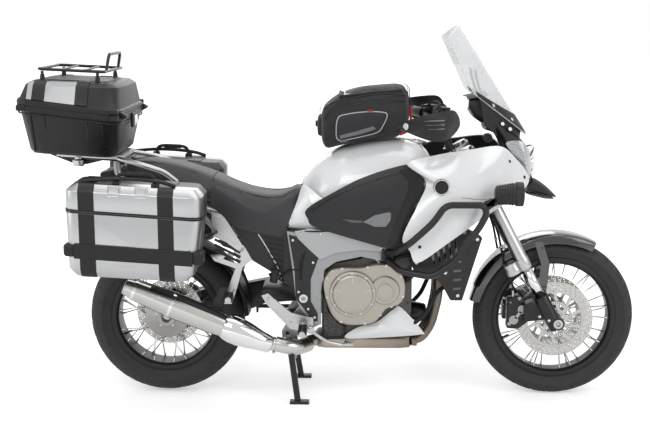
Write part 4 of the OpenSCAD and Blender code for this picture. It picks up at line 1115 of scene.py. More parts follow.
def patch_on(shape, surface, outline, thick, side, lift=0.3, steps=4, closed=True):
    """A thin plate that follows a shell's skin."""
    ring = smooth_path([(x, 0, z) for x, z in outline], steps, closed=closed) if steps > 1 else [
        Vector((x, 0, z)) for x, z in outline]
    mid = sum(ring, Vector()) / len(ring)
    outer, inner = [], []
    for k in (1.0, 0.75, 0.5, 0.25, 0.02):
        a, b = [], []
        for p in ring:
            q = mid + (p - mid) * k
            s = surface(q.x, q.z)
            a.append((s.x, side * (s.y + lift + thick), s.z))
            b.append((s.x, side * (s.y + lift - 3), s.z))
        outer.append(a)
        inner.append(b)
    whole = inner[::-1] + outer
    return shape.rings(whole if side > 0 else [r[::-1] for r in whole])


def ribbon_on(shape, surface, first, second, thick, side, steps=5, across=6):
    """A strip between two lines drawn on a shell's skin."""
    a, b = (smooth_path([(x, 0, z) for x, z in line], steps) for line in (first, second))
    grid = []
    for p, q in zip(a, b):
        row = []
        for k in range(across + 1):
            m = p.lerp(q, k / across)
            s = surface(m.x, m.z)
            row.append((s.x, side * (s.y + thick), s.z))
        grid.append(row)
    inner = [[(x, y - side * (thick + 2), z) for x, y, z in row] for row in grid]
    return shape.rings([row + low[::-1] for row, low in zip(grid, inner)])


def build_cowls():
    """Side cowls, their seams and bare discs, and the tank's dark panels."""
    for side, tag in ((-1, "right"), (1, "left")):
        s = Shape()
        shield(s, COWL_EDGE, COWL_MIDDLE, COWL_BULGE, 4.6, side, rings=12, steps=6)
        s.make("side_cowl_shell_" + tag, "white", "frame", "white_paint", smooth=42,
               replaces=["side_cowls"] if side < 0 else [])
        p = Shape()
        shield(p, PANEL_EDGE, PANEL_MIDDLE, PANEL_BULGE, 4.6, side, rings=10, steps=6)
        p.make("tank_panel_shell_" + tag, "dark_panel", "frame", "dark_plastic", smooth=42,
               replaces=["tank_panels"] if side < 0 else [])

        disc = Shape()
        c = on_cowl(1105, 907)
        c = Vector((c.x, side * (c.y + 5), c.z))
        disc.lathe(c, (0, side, 0), [(-6, 31), (0.8, 31), (3.4, 29.6), (4.4, 28), (4.4, 25.5), (3.2, 24.5),
                                     (3.2, 6)], 56)
        disc.make("cowl_disc_" + tag, "black_plastic", "frame", "dark_plastic")
        ring = Shape()
        ring.ring(c, (0, side, 0), [(3.6, 25.4), (4.9, 26.4), (4.9, 29.2), (3.6, 30)], 56)
        ring.make("cowl_disc_rim_" + tag, "bright", "frame", "silver_cast")

        # The shut line under the nose and the black liner behind the cowl
        lines = Shape()
        line_on(lines, on_cowl, [(1180, 868), (1262, 858), (1340, 868), (1410, 906)], 1.0, side, -0.4)
        lines.make("cowl_seams_" + tag, "black_plastic", "frame", "dark_plastic")
        liner = Shape()
        edge = [(COWL_MIDDLE[0] + (x - COWL_MIDDLE[0]) * 0.975, y - 8,
                 COWL_MIDDLE[2] + (z - COWL_MIDDLE[2]) * 0.975)
                for x, y, z in COWL_EDGE]
        shield(liner, edge, (COWL_MIDDLE[0], COWL_MIDDLE[1] - 8, COWL_MIDDLE[2]), COWL_BULGE, 2, side,
               rings=10, steps=6)
        liner.make("cowl_liner_" + tag, "black_plastic", "frame", "black_plastic", smooth=42)
        screws = Shape()
        for x, z in ((1372, 996), (1024, 676), (1436, 930)):
            q = on_cowl(x, z)
            screws.lathe((q.x, side * (q.y + 0.2), q.z), (0, side, 0),
                         [(-2, 6.5), (1.0, 6.5), (1.8, 5.6), (1.8, 2.6), (0.8, 2.4)], 24)
        screws.make("cowl_screws_" + tag, "black_plastic", "frame", "dark_plastic")

        # Wedges, the glossy strip along the front, and raised edges of the dark tank panel
        mark = Shape()
        patch_on(mark, on_panel, [(806, 762), (851, 789), (906, 802), (915, 796), (912, 768), (895, 744),
                                  (852, 744)], 2.6,
                 side, steps=1)
        mark.make("panel_wedge_" + tag, "wedge", "frame", "dark_plastic", bevel=0.0008)
        mark = Shape()
        patch_on(mark, on_panel, [(722, 772), (800, 768), (806, 759), (762, 758)], 2.4, side, steps=1)
        mark.make("panel_arrow_" + tag, "grey_panel", "frame", "dark_plastic", bevel=0.0008)
        strip = Shape()
        ribbon_on(strip, on_panel, [(962, 970), (998, 958), (1024, 922), (1014, 876), (974, 780), (950, 712),
                                    (930, 676)],
                  [(946, 956), (972, 940), (986, 902), (970, 850), (936, 768), (916, 712), (902, 676)], 5.0,
                  side)
        strip.make("panel_strip_" + tag, "satin_black", "frame", "dark_plastic", smooth=50)
        rib = Shape()
        line_on(rib, on_panel, [(604, 800), (706, 866), (822, 916), (940, 952)], 2.6, side, 1.6)
        line_on(rib, on_panel, [(700, 778), (770, 780), (850, 806), (920, 818)], 2.2, side, 1.6)
        rib.make("panel_ribs_" + tag, "satin_black", "frame", "dark_plastic")

    # White tail of the tank down to the frame, with the black line under it
    for side, tag in ((-1, "right"), (1, "left")):
        edge = [(502, 158, 734), (560, 164, 724), (640, 176, 724), (705, 186, 740), (712, 190, 800),
                (640, 172, 850),
                (590, 140, 886), (566, 122, 890), (548, 138, 836), (524, 150, 776)]
        s = Shape()
        shield(s, edge, (620, 178, 790), 6, 5, side, rings=9, steps=6)
        s.make("tank_tail_" + tag, "white", "frame", "white_paint", smooth=50)
        lip = Shape()
        lip.tube(smooth_path([(500, side * 165, 730), (556, side * 184, 719), (610, side * 193, 716),
                              (660, side * 194, 718),
                              (712, side * 196, 716)], 6), 3.0, 10)
        lip.make("tank_lip_" + tag, "black_plastic", "frame", "dark_plastic")


TANK_ROWS = [(566, 800, 893, 70, 0.8), (600, 750, 940, 118, 0.72), (650, 750, 990, 160, 0.66),
             (730, 750, 1038, 188, 0.62),
             (830, 762, 1060, 196, 0.6), (930, 800, 1068, 194, 0.6), (1010, 838, 1056, 176, 0.6),
             (1060, 880, 1022, 140, 0.65),
             (1082, 910, 990, 90, 0.8)]


def build_tank():
    """The tank's skin, its cap, the line along its foot and the grey plate below."""
    s = Shape()
    loft_rows(s, TANK_ROWS, 8, 64, 0.6)
    s.make("tank_skin", "white", "frame", "white_paint", smooth=60, replaces=["tank"])
    plate = Shape()
    for side in (-1, 1):
        plate.plate([(536, 716), (600, 726), (700, 716), (852, 690), (912, 662), (896, 634), (800, 640),
                     (700, 628), (640, 600),
                     (596, 640), (548, 688)], side, 182.4, 191)
    plate.make("frame_plates", "panel_grey", "frame", "frame_grey", bevel=0.003, segments=3)
    cap = Shape()
    cap.lathe((1024, 0, 1050), (0.14, 0, 1), [(-4, 42), (4, 42), (7, 39), (8, 30), (8, 16), (11, 15),
                                              (11, 3)], 56)
    cap.make("tank_cap", "silver", "frame", "silver_cast", bevel=0.0008)


NOSE_ROWS = [(1292, 1104, 1208, 104, 0.9), (1340, 1080, 1160, 124, 0.85), (1384, 990, 1120, 122, 0.8),
             (1430, 890, 1076, 112, 0.8), (1462, 872, 1042, 98, 0.8)]
LAMP_ROWS = [(1462.3, 906, 1040, 94, 0.8), (1482, 914, 1022, 86, 0.8), (1496, 926, 996, 66, 0.8),
             (1503, 946, 974, 36, 0.8)]
BEAK_ROWS = [(1462.3, 856, 900, 84, 0.8), (1500, 850, 904, 76, 0.7), (1550, 836, 872, 52, 0.7),
             (1591, 824, 833, 12, 0.8)]
DASH_ROWS = [(1226, 1186, 1236, 84, 0.9), (1250, 1150, 1244, 92, 0.9), (1291.5, 1128, 1232, 96, 0.9)]


def foot_of_screen(u, v):
    foot, head = (1468, 0, 1077, 237, 178, 172), (1182, 0, 1523, 52, -51, 150)
    m = [a + (b - a) * v for a, b in zip(foot, head)]
    return Vector((m[0] - m[3] * u * u, m[5] * u, m[2] + m[4] * u * u))


def build_nose():
    """Nose shell, headlight, beak, dash and screen."""
    loft_rows(Shape(), NOSE_ROWS, 7, 56, 0.62).make("nose_shell", "black_plastic", "frame", "black_plastic",
                                                    smooth=50, replaces=["nose_cowl"])
    loft_rows(Shape(), BEAK_ROWS, 7, 48, 0.6).make("beak_shell", "black_plastic", "frame", "black_plastic",
                                                   smooth=50, replaces=["beak"])
    loft_rows(Shape(), LAMP_ROWS, 8, 56, 0.7).make("headlight_lens", "lens", "frame", "lens", smooth=60,
                                                   replaces=["headlight"])
    back = Shape()
    back.rings([[(x, 88 * k * math.copysign(abs(math.cos(a)) ** 0.7, math.cos(a)),
                  972 + 60 * k * math.copysign(abs(math.sin(a)) ** 0.7, math.sin(a)))
                 for a in (2 * math.pi * j / 48 for j in range(48))] for x,
                k in ((1462, 1.0), (1466, 0.99), (1468, 0.9))])
    back.make("headlight_back", "black_plastic", "frame", "lens")
    bowl = Shape()
    for side in (-1, 1):
        bowl.lathe((1464, side * 44, 972), (1, 0, 0), [(0, 6), (1, 8), (4, 20), (10, 29), (18, 34), (19, 36),
                                                       (17, 36), (2, 30)], 48)
        bowl.lathe((1468, side * 44, 972), (1, 0, 0), [(0, 9), (14, 8), (18, 5), (19, 1)], 28)
    bowl.make("headlight_bowls", "bowl", "frame", "silver_cast")
    brow = Shape()
    brow.tube(smooth_path([(1466, -92, 1000), (1482, -70, 1026), (1494, 0, 1036), (1482, 70, 1026),
                           (1466, 92, 1000)], 8), 4.5, 12)
    brow.tube(smooth_path([(1466, -90, 936), (1482, -66, 914), (1494, 0, 906), (1482, 66, 914),
                           (1466, 90, 936)], 8), 4.5, 12)
    brow.make("headlight_surround", "gloss_black", "frame", "black_plastic")
    edge = [(1366, 126, 1060), (1420, 120, 1068), (1452, 106, 1042), (1476, 82, 975), (1468, 86, 916),
            (1446, 110, 955),
            (1406, 122, 1005)]
    glow, cover = Shape(), Shape()
    for side in (-1, 1):
        shield(glow, edge, (1434, 120, 1006), 3, 3, side, rings=6)
        shield(cover, [(x + 1, y + 3.5, z) for x, y, z in edge], (1435, 124, 1006), 4, 1.6, side, rings=6)
    glow.make("headlight_side_bowls", "side_bowl", "frame", "silver_cast", smooth=50)
    cover.make("headlight_side_lenses", "lens", "frame", "lens", smooth=50)
    under = Shape()
    under.prism([(1466, 852), (1500, 846), (1548, 832), (1582, 824), (1540, 826), (1490, 838), (1464, 846)],
                -50, 50)
    under.make("beak_under", "grey_panel", "frame", "dark_plastic", bevel=0.003)

    grid = [[foot_of_screen(-1 + i / 16, 0.006 + 0.988 * v / 20) for i in range(33)] for v in range(21)]
    glass = Shape().sheet(grid, -4.0)
    glass.make("screen_glass", "screen", "frame", "screen", bevel=0.0009, smooth=50, replaces=["windscreen"])
    band = Shape()
    grid = [[foot_of_screen(-0.96 + 1.92 * i / 32,
                            0.02 + (0.17 - 0.09 * (i / 16 - 1) ** 2) * v / 6) + Vector((1.2, 0, 0.6))
             for i in range(33)] for v in range(7)]
    band.sheet(grid, 1.2)
    band.make("screen_foot", "black_plastic", "frame", "dark_plastic", smooth=50)
    apron = Shape()
    rows = []
    for k in range(5):
        row = []
        for i in range(33):
            u = -0.9 + 1.8 * i / 32
            top, low = foot_of_screen(u, 0.06) + Vector((-9, 0, -4)), foot_of_screen(u * 0.9,
                    0) + Vector((-34, 0, -64))
            row.append(top.lerp(low, k / 4))
        rows.append(row)
    apron.sheet(rows, 3)
    apron.make("screen_apron", "black_plastic", "frame", "dark_plastic", bevel=0.0008, smooth=50)
    screws = Shape()
    for u in (-0.78, -0.5, 0.5, 0.78):
        p = foot_of_screen(u, 0.07)
        screws.lathe(p + Vector((1, 0, 0.5)), unit((0.85, u * 0.8, 0.5)),
                     [(-2, 8), (2, 8), (3.4, 6.6), (3.4, 3), (2, 2.6)], 24)
    screws.make("screen_screws", "bright", "frame", "silver_cast")
    rods = Shape()
    for side in (-1, 1):
        rods.tube(smooth_path([(1292, side * 60, 1190), (1262, side * 84, 1270), (1244, side * 92, 1330)], 6),
                  5, 12)
        rods.block((1246, side * 92, 1334), (8, 18, 22), Matrix.Rotation(math.radians(-30), 3, "Y"))
    rods.make("screen_stays", "black_coat", "frame", "black_plastic", bevel=0.001)

    loft_rows(Shape(), DASH_ROWS, 6, 48, 0.5).make("dash_case", "black_plastic", "frame", "black_plastic",
                                                   smooth=50,
                                                   replaces=["instruments"])
    face = Shape()
    face.prism([(1221, 1190), (1224, 1232), (1229, 1232), (1228, 1188)], -72, 72)
    face.make("dash_display", "display", "frame", "lens", bevel=0.0015)
    hood = Shape()
    hood.sheet([[(1216 + 16 * k, 92 * j / 8, 1240 - 10 * (j / 8) ** 2 + 3 * k) for j in range(-8,
            9)] for k in range(6)], 4)
    hood.make("dash_hood", "black_plastic", "frame", "black_plastic", bevel=0.0012)
    round_socket = Shape()
    round_socket.lathe((1287, -176, 1087), (0, -1, 0), [(-50, 12), (0, 18), (10, 19), (12, 17), (12, 11),
                                                        (4, 10)], 36)
    round_socket.make("nose_socket", "black_plastic", "frame", "black_plastic")
    screws = Shape()
    for side in (-1, 1):
        for x, y, z in ((1314, 114, 1186), (1384, 106, 1118), (1352, 120, 1140)):
            screws.lathe((x, side * (y - 4), z - 6), (0.2, side, 0.5),
                         [(-3, 8), (3, 8), (4.4, 6.6), (4.4, 3), (3, 2.8)], 24)
    screws.make("nose_screws", "bright", "frame", "silver_cast")


# ---------- luggage ----------


def seam_z(x):
    """Height of a side case's seam, which slopes down to the front."""
    return 851 - 34 * (x + 294) / 502


def strap(shape, profile, x0, x1, thick, steps=1):
    """A flat strap laid over a profile of y and z that may change along x, standing out from it."""
    xs = [x0 + (x1 - x0) * i / steps for i in range(steps + 1)]
    lines = [[Vector((x, y, z)) for y, z in profile(x)] for x in xs]
    heart = sum((p for line in lines for p in line), Vector()) / sum(len(line) for line in lines)
    heart.y *= 0.8
    rings = []
    for k in range(len(lines[0])):
        inner = [line[k] for line in lines]
        outer = []
        for line in lines:
            a, b = line[max(k - 1, 0)], line[min(k + 1, len(line) - 1)]
            n = Vector((0, -(b - a).z, (b - a).y)).normalized()
            if n.dot(line[k] - heart) < 0:
                n = -n
            outer.append(line[k] + n * thick)
        rings.append(inner + outer[::-1])
    return shape.rings(rings)


def build_side_cases():
    """Straps, seams, clips and handles of both side cases."""
    for side, tag in ((-1, "right"), (1, "left")):
        lid = "side_case_lid_" + tag

        def low_profile(x):
            foot, low = 604 - 24 * (x + 268) / 418, 634 - 28 * (x + 290) / 468
            return [(side * 448, foot - 0.4), (side * 478, foot - 0.4), (side * 487, foot + 5),
                    (side * 498.4, low),
                    (side * 500.2, seam_z(x) - 7)]

        def band_profile(x):
            z = seam_z(x)
            return [(side * 499.4, z - 174), (side * 500.6, z - 172), (side * 500.8, z - 148),
                    (side * 500.6, z - 124),
                    (side * 499.4, z - 121)]

        def lid_profile(x):
            mid, top = 925 - 30 * (x + 292) / 502, 950 - 28 * (x + 262) / 450
            return [(side * 500.2, seam_z(x) + 7), (side * 500.2, mid - 3), (side * 497, mid + 5),
                    (side * 479, top - 3),
                    (side * 470, top + 0.2), (side * 405, top + 0.2), (side * 300, top + 0.2)]
        low = Shape()
        for x in (-241, 50):
            strap(low, low_profile, x, x + 58, 3.0, 2)
        strap(low, band_profile, -262, 176, 5.0, 12)
        low.make("case_straps_" + tag, "case_black", "frame", "case_black", bevel=0.0012)
        wrap = Shape()
        for x0, x1 in ((-302, -258), (172, 213)):
            wrap.plate([(x0, seam_z(x0) - 124), (x1, seam_z(x1) - 124), (x1, seam_z(x1) - 172),
                        (x0, seam_z(x0) - 172)],
                       side, 420, 505)
        wrap.make("case_strap_ends_" + tag, "case_black", "frame", "case_black", bevel=0.012, segments=5)
        top = Shape()
        for x in (-241, 50):
            strap(top, lid_profile, x, x + 58, 3.0, 2)
        top.make("lid_straps_" + tag, "case_black", lid, "case_black", bevel=0.0012)

        # The black rims on each side of the seam run all round the case
        for name, body, z0, z1 in (("case_rim_", "frame", -6.5, -0.8), ("lid_rim_", lid, 0.8, 6.5)):
            rim = Shape()
            row = (-294, 208, 112.5, 851, 817, 38)
            hoop(rim, row, 1.6, z0, z1, 2.4)
            for p in rim.points:
                p.y = side * (387.5 + p.y)
            rim.make(name + tag, "black_plastic", body, "case_black", bevel=0.0006)

        # Two bright clips over the lid's top edge
        clip = Shape()
        for x in (-132, -32):
            top_z, mid_z = 950 - 28 * (x + 262) / 450, 925 - 30 * (x + 292) / 502
            path = [(x, side * 476, top_z + 1.0), (x, side * 501.5, mid_z + 2), (x, side * 502.5, mid_z - 10),
                    (x + 44, side * 502.5, mid_z - 12), (x + 44, side * 501.5, mid_z),
                    (x + 44, side * 476, top_z - 1.6)]
            clip.tube(round_path(path, 6, 4), 2.0, 10)
        clip.make("case_clips_" + tag, "bright", lid, "case_aluminium")
        # The clip pads take the darker copy of the case sheet, painted shade.
        pad = Shape()
        for x in (-132, -32):
            strap(pad, lambda q: lid_profile(q)[1:4], x + 4, x + 40, 1.2, 2)
        pad.make("case_clip_pads_" + tag, "case_metal_shaded", lid, "case_aluminium", bevel=0.0005)

        # The carrying handle on its long black spine
        y = side * 452
        spine = Shape()
        path = [(-244, y, 950), (-190, y, 957), (-110, y, 963), (-20, y, 960), (60, y, 950), (112, y, 934)]
        spine.tube(smooth_path(path, 6), 7.5, 14)
        spine.make("case_spine_" + tag, "case_black", lid, "case_black")
        handle = Shape()
        y = side * 446
        handle.tube(round_path([(-108, y, 954), (-100, y, 974), (-84, y, 980), (14, y, 976), (28, y, 968),
                                (36, y, 944)], 16), 7, 16)
        handle.tube([(-72, y, 979.4), (2, y, 976.2)], 8.8, 20)
        handle.make("case_handle_" + tag, "rubber", lid, "black_plastic")
        feet = Shape()
        for x, z in ((-108, 944), (36, 935)):
            feet.block((x, y, z + 3), (28, 30, 12))
            for dx in (-9, 9):
                feet.bolt((x + dx, y - side * 8, z + 9), (0, 0, 1), 2.8, 2.5)
        feet.make("handle_feet_" + tag, "case_black", lid, "case_black", bevel=0.0025)


def ring_of(row, grow, z0, z1, count=9):
    """The rounded outline of a case at a band between two heights above its sloping rim."""
    x0, x1, half, zs, ze, corner = row
    x0, x1, half, corner = x0 - grow, x1 + grow, half + grow, corner + grow
    out = []
    for lift in (z0, z1):
        ring = []
        for cx, cy, start in ((x1 - corner, half - corner, 0), (x0 + corner, half - corner, 90),
                              (x0 + corner, -half + corner, 180), (x1 - corner, -half + corner, 270)):
            for k in range(count):
                a = math.radians(start + 90 * k / (count - 1))
                x = cx + corner * math.cos(a)
                ring.append((x, cy + corner * math.sin(a),
                             zs + (ze - zs) * (x - row[0]) / (row[1] - row[0]) + lift))
        out.append(ring)
    return out


def hoop(shape, row, out, z0, z1, depth=3.0):
    """A band that runs all round a case."""
    low, high = ring_of(row, out, z0, z1)
    inner_low, inner_high = ring_of(row, out - depth, z0, z1)
    n = len(low)
    pts = low + high + inner_high + inner_low
    faces = []
    for j in range(n):
        k = (j + 1) % n
        for layer in range(4):
            a, b = layer * n, ((layer + 1) % 4) * n
            faces.append([a + j, a + k, b + k, b + j])
    return shape.add(pts, faces)


def build_top_case():
    """Bands, ribs, panels, rack, latch and knob of the top case."""
    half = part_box("top_case")[1].y * 1000
    x0 = (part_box("top_case")[0].x - REAR_AXLE.x) * 1000
    x1 = x0 + 403
    rim = (x0, x1, half, 1222, 1173, 62)
    low = Shape()
    hoop(low, rim, 1.2, -17, -1.0)
    hoop(low, rim, -1.0, -34, -28)
    low.make("top_case_rim", "black_plastic", "frame", "case_black", bevel=0.002)
    high = Shape()
    hoop(high, rim, 1.2, 1.2, 14)
    high.make("top_lid_rim", "black_plastic", "top_case_lid", "case_black", bevel=0.002)

    # Black straps and bright panels on the lid, narrow grooves on the base
    def lid_side(side):
        def profile(x):
            t = (x + 518) / 386
            rows = [(half - 5.6, 1246 - 48 * t), (half - 39.5, 1292 - 14 * t), (half - 67, 1307 - 13 * t),
                    (half - 110, 1307 - 13 * t)]
            return [(side * y, z) for y, z in rows]
        return profile

    def base_side(side):
        def profile(x):
            t = (x + 516) / 382
            rim_z, foot_z = 1196 - 49 * t, 1028 - 20 * (x + 485) / 313
            return [(side * (216 + 58 * k), foot_z + (rim_z - foot_z) * k) for k in (0.02, 0.5, 0.96)]
        return profile
    straps, inlay, grooves = Shape(), Shape(), Shape()
    for side in (-1, 1):
        for x in (-458, -294):
            strap(straps, lid_side(side), x, x + 48, 4.5, 2)
        strap(inlay, lambda x: lid_side(side)(x)[:3], -410, -294, 2.2, 4)
        strap(inlay, lambda x: lid_side(side)(x)[:3], -478, -458, 2.2, 1)
        for x in (-420, -256):
            strap(grooves, base_side(side), x, x + 8, 3.6, 1)
        for x in (-470, -196):
            strap(grooves, base_side(side), x, x + 6, 3.0, 1)
    straps.make("top_lid_straps", "case_black", "top_case_lid", "case_black", bevel=0.0015)
    # The inlays take the darker copy of the case sheet, painted shade.
    inlay.make("top_lid_inlays", "case_metal_shaded", "top_case_lid", "case_aluminium", bevel=0.0008, smooth=30)
    grooves.make("top_case_ribs", "satin_black", "frame", "case_black", bevel=0.0006)

    # The rack on the lid and its feet
    rack = Shape()
    side_y = 168
    rack.tube(round_path([(-200, -side_y, 1338), (-458, -side_y, 1350), (-458, side_y, 1350),
                          (-200, side_y, 1338)], 30),
              6, 16)
    rack.tube([(-200, -side_y - 3, 1338), (-200, side_y + 3, 1338)], 6, 16)
    for x in (-290, -375):
        z = 1338 + (-200 - x) * 12 / 258
        rack.tube([(x, -side_y, z), (x, side_y, z)], 4.2, 12)
    rack.tube(round_path([(-202, -115, 1338), (-190, -110, 1404), (-190, 110, 1404), (-202, 115, 1338)], 22),
              6, 16)
    rack.make("lid_rack_tubes", "black_coat", "top_case_lid", "case_black")
    feet = Shape()
    for x in (-440, -225):
        for side in (-1, 1):
            z = 1307 - (x + 480) * 0.0406
            feet.lathe((x, side * side_y, z - 1), (0, 0, 1), [(0, 15), (3, 15), (6, 10), (26, 8)], 28)
            feet.bolt((x + 11, side * side_y, z + 2), (0, 0, 1), 2.4, 2)
    feet.make("lid_rack_feet", "case_black", "top_case_lid", "case_black", bevel=0.0006)
    # Raised field on the lid's top
    field = Shape()
    field.block((-320, 0, 1301.5), (250, 270, 5), Matrix.Rotation(math.radians(2.33), 3, "Y"))
    field.make("lid_field", "case_black", "top_case_lid", "case_black", bevel=0.002)

    # The latch behind the passenger and lugs at the seam's front corners
    latch = Shape()
    latch.block((x1 + 4, 0, 1140), (12, 92, 58))
    latch.make("top_latch_base", "case_black", "frame", "case_black", bevel=0.004)
    clip = Shape()
    clip.block((x1 + 11, 0, 1138), (5, 52, 40))
    clip.lathe((x1 + 13, 0, 1128), (1, 0, 0), [(0, 9), (2, 9), (2.6, 8), (2, 6)], 28)
    clip.make("top_latch_clip", "chrome", "frame", "case_aluminium", bevel=0.002)
    lugs = Shape()
    for side in (-1, 1):
        lugs.block((x1 - 20, side * (half - 6), 1166), (34, 22, 22))
        lugs.block((x0 + 26, side * (half - 8), 1208), (34, 18, 22))
    lugs.make("top_case_lugs", "black_plastic", "frame", "case_black", bevel=0.004)
    lugs = Shape()
    for side in (-1, 1):
        lugs.block((x1 - 20, side * (half - 7), 1191), (30, 20, 18))
    lugs.make("top_lid_lugs", "black_plastic", "top_case_lid", "case_black", bevel=0.004)

    # The carrier's knobs and the arms under the case
    knob = Shape()
    for side in (-1, 1):
        knob.lathe((-323, side * 120, 1001), (0, 0, -1), [(0, 15), (8, 15), (12, 24), (30, 24), (36, 19),
                                                          (38, 8)], 40)
    knob.make("carrier_knobs", "bright", "frame", "silver_cast", bevel=0.0008)
    arms = Shape()
    for side in (-1, 1):
        arms.plate([(-446, 1006), (-344, 966), (-300, 966), (-210, 988), (-196, 1000), (-300, 1002)], side,
                   70, 84)
        arms.plate([(-300, 992), (-180, 984), (-150, 978), (-150, 990), (-180, 998), (-300, 1008)],
                   side, 96, 124)
    arms.make("carrier_arms", "black_coat", "frame", "silver_cast", bevel=0.003)


# ---------- tank bag and seat ----------


def superellipse(x, low, high, half, share, power, count):
    """A ring across the bike, rounded towards its corners."""
    out = []
    for j in range(count):
        a = 2 * math.pi * j / count
        c, s = math.cos(a), math.sin(a)
        up = math.copysign(abs(s) ** power, s)
        wide = half * (1 - (1 - share) * up if up > 0 else 1)
        out.append((x, wide * math.copysign(abs(c) ** power, c), (low + high) / 2 + (high - low) / 2 * up))
    return out


def loft_rows(shape, rows, steps, count, power, ease=True):
    """A loft along x through table rows, smoothed between them."""
    cols = list(zip(*rows))
    dense = []
    n = len(rows)
    for i in range(n - 1):
        for k in range(steps):
            t = k / steps
            row = []
            for col in cols:
                a, b, c, d = col[max(i - 1, 0)], col[i], col[i + 1], col[min(i + 2, n - 1)]
                row.append(0.5 * (2 * b + (c - a) * t + (2 * a - 5 * b + 4 * c - d) * t * t
                                  + (3 * b - a - 3 * c + d) * t ** 3) if ease else b + (c - b) * t)
            dense.append(row)
    dense.append(list(rows[-1]))
    return shape.rings([superellipse(r[0], r[1], r[2], r[3], r[4], power, count) for r in dense])


def inflate(obj, voxel, pressure, cap, pins=()):
    """Lets a closed piece swell like stuffed cloth, no point moving further than the cap."""
    scene = bpy.context.scene
    view = bpy.context.view_layer
    view.objects.active = obj
    mod = obj.modifiers.new("Remesh", "REMESH")
    mod.mode, mod.voxel_size = "VOXEL", voxel
    with bpy.context.temp_override(object=obj, active_object=obj, selected_objects=[obj]):
        bpy.ops.object.modifier_apply(modifier="Remesh")
    before = [v.co.copy() for v in obj.data.vertices]
    group = obj.vertex_groups.new(name="held")
    lows = min(v.z for v in before)
    for i, v in enumerate(before):
        weight = 1.0 if v.z < lows + 0.02 else 0.0
        for spot, reach in pins:
            weight = max(weight, max(0.0, 1 - (v - spot).length / reach))
        if weight > 0:
            group.add([i], weight, "REPLACE")
    cloth = obj.modifiers.new("Cloth", "CLOTH")
    settings = cloth.settings
    settings.use_pressure, settings.uniform_pressure_force = True, pressure
    settings.vertex_group_mass = "held"
    settings.effector_weights.gravity = 0
    settings.quality = 4
    scene.frame_start, scene.frame_end = 1, 20
    for step in range(1, 21):
        scene.frame_set(step)
    shown = obj.evaluated_get(bpy.context.evaluated_depsgraph_get())
    moved = [v.co.copy() for v in shown.data.vertices]
    obj.modifiers.remove(cloth)
    for v, a, b in zip(obj.data.vertices, before, moved):
        d = b - a
        v.co = a + (d if d.length <= cap else d * (cap / d.length))
    obj.data.update()
    scene.frame_set(1)
    obj.data.shade_smooth()
    sub = obj.modifiers.new("Subdivision", "SUBSURF")
    sub.levels = sub.render_levels = 1
    return obj


SEAT_ROWS = [(-166, 917, 943, 58, 0.9), (-140, 909, 970, 80, 0.86), (-60, 889, 980, 102, 0.84),
             (60, 856, 962, 120, 0.82),
             (190, 822, 922, 136, 0.8), (300, 794, 874, 148, 0.78), (400, 777, 843, 151, 0.78),
             (480, 773, 841, 137, 0.78),
             (540, 795, 867, 100, 0.8), (558, 812, 878, 72, 0.85)]


def build_seat():
    """The stepped seat, its seams and its edge strip."""
    s = Shape()
    loft_rows(s, SEAT_ROWS, 6, 44, 0.5)
    seat = s.make("seat_cushion", "vinyl", "frame", "seat_cover", replaces=["seat"])
    inflate(seat, 0.008, 3.0, 0.006)
    skirts = Shape()
    for side in (-1, 1):
        edge = [(206, 146, 824), (252, 158, 770), (304, 170, 728), (375, 173, 708), (442, 173, 698),
                (486, 171, 694), (520, 160, 746),
                (550, 122, 824), (536, 120, 850), (470, 138, 836), (400, 146, 838), (300, 144, 862),
                (214, 138, 890)]
        shield(skirts, edge, (400, 170, 776), 8, 5, side, rings=9, steps=5)
    skirts.make("seat_skirts", "vinyl", "frame", "seat_cover", smooth=60)
    seams = Shape()
    for side in (-1, 1):
        path = []
        for x, low, high, half, share in SEAT_ROWS[1:-1]:
            ring = superellipse(x, low, high, half + 3, share, 0.5, 44)
            p = ring[6]
            path.append((p[0], side * p[1], p[2] + 2.5))
        seams.tube(smooth_path(path, 6), 1.9, 8)
    for x, low, high, half, share in (SEAT_ROWS[4], SEAT_ROWS[5]):
        ring = superellipse(x + 20, low, high + (0 if x < 200 else -4), half + 3, share, 0.5, 44)
        seams.tube([(p[0], p[1], p[2] + 1.6) for p in ring[4:19]], 1.7, 8)
    seams.make("seat_seams", "seam", "frame", "seat_cover")


BAG_ROWS = [(643, 1056, 1182, 90, 0.9), (664, 1030, 1208, 112, 0.85), (724, 1044, 1248, 128, 0.8),
            (830, 1066, 1270, 134, 0.78), (925, 1074, 1278, 132, 0.78), (966, 1088, 1280, 122, 0.8),
            (984, 1114, 1262, 104, 0.9)]


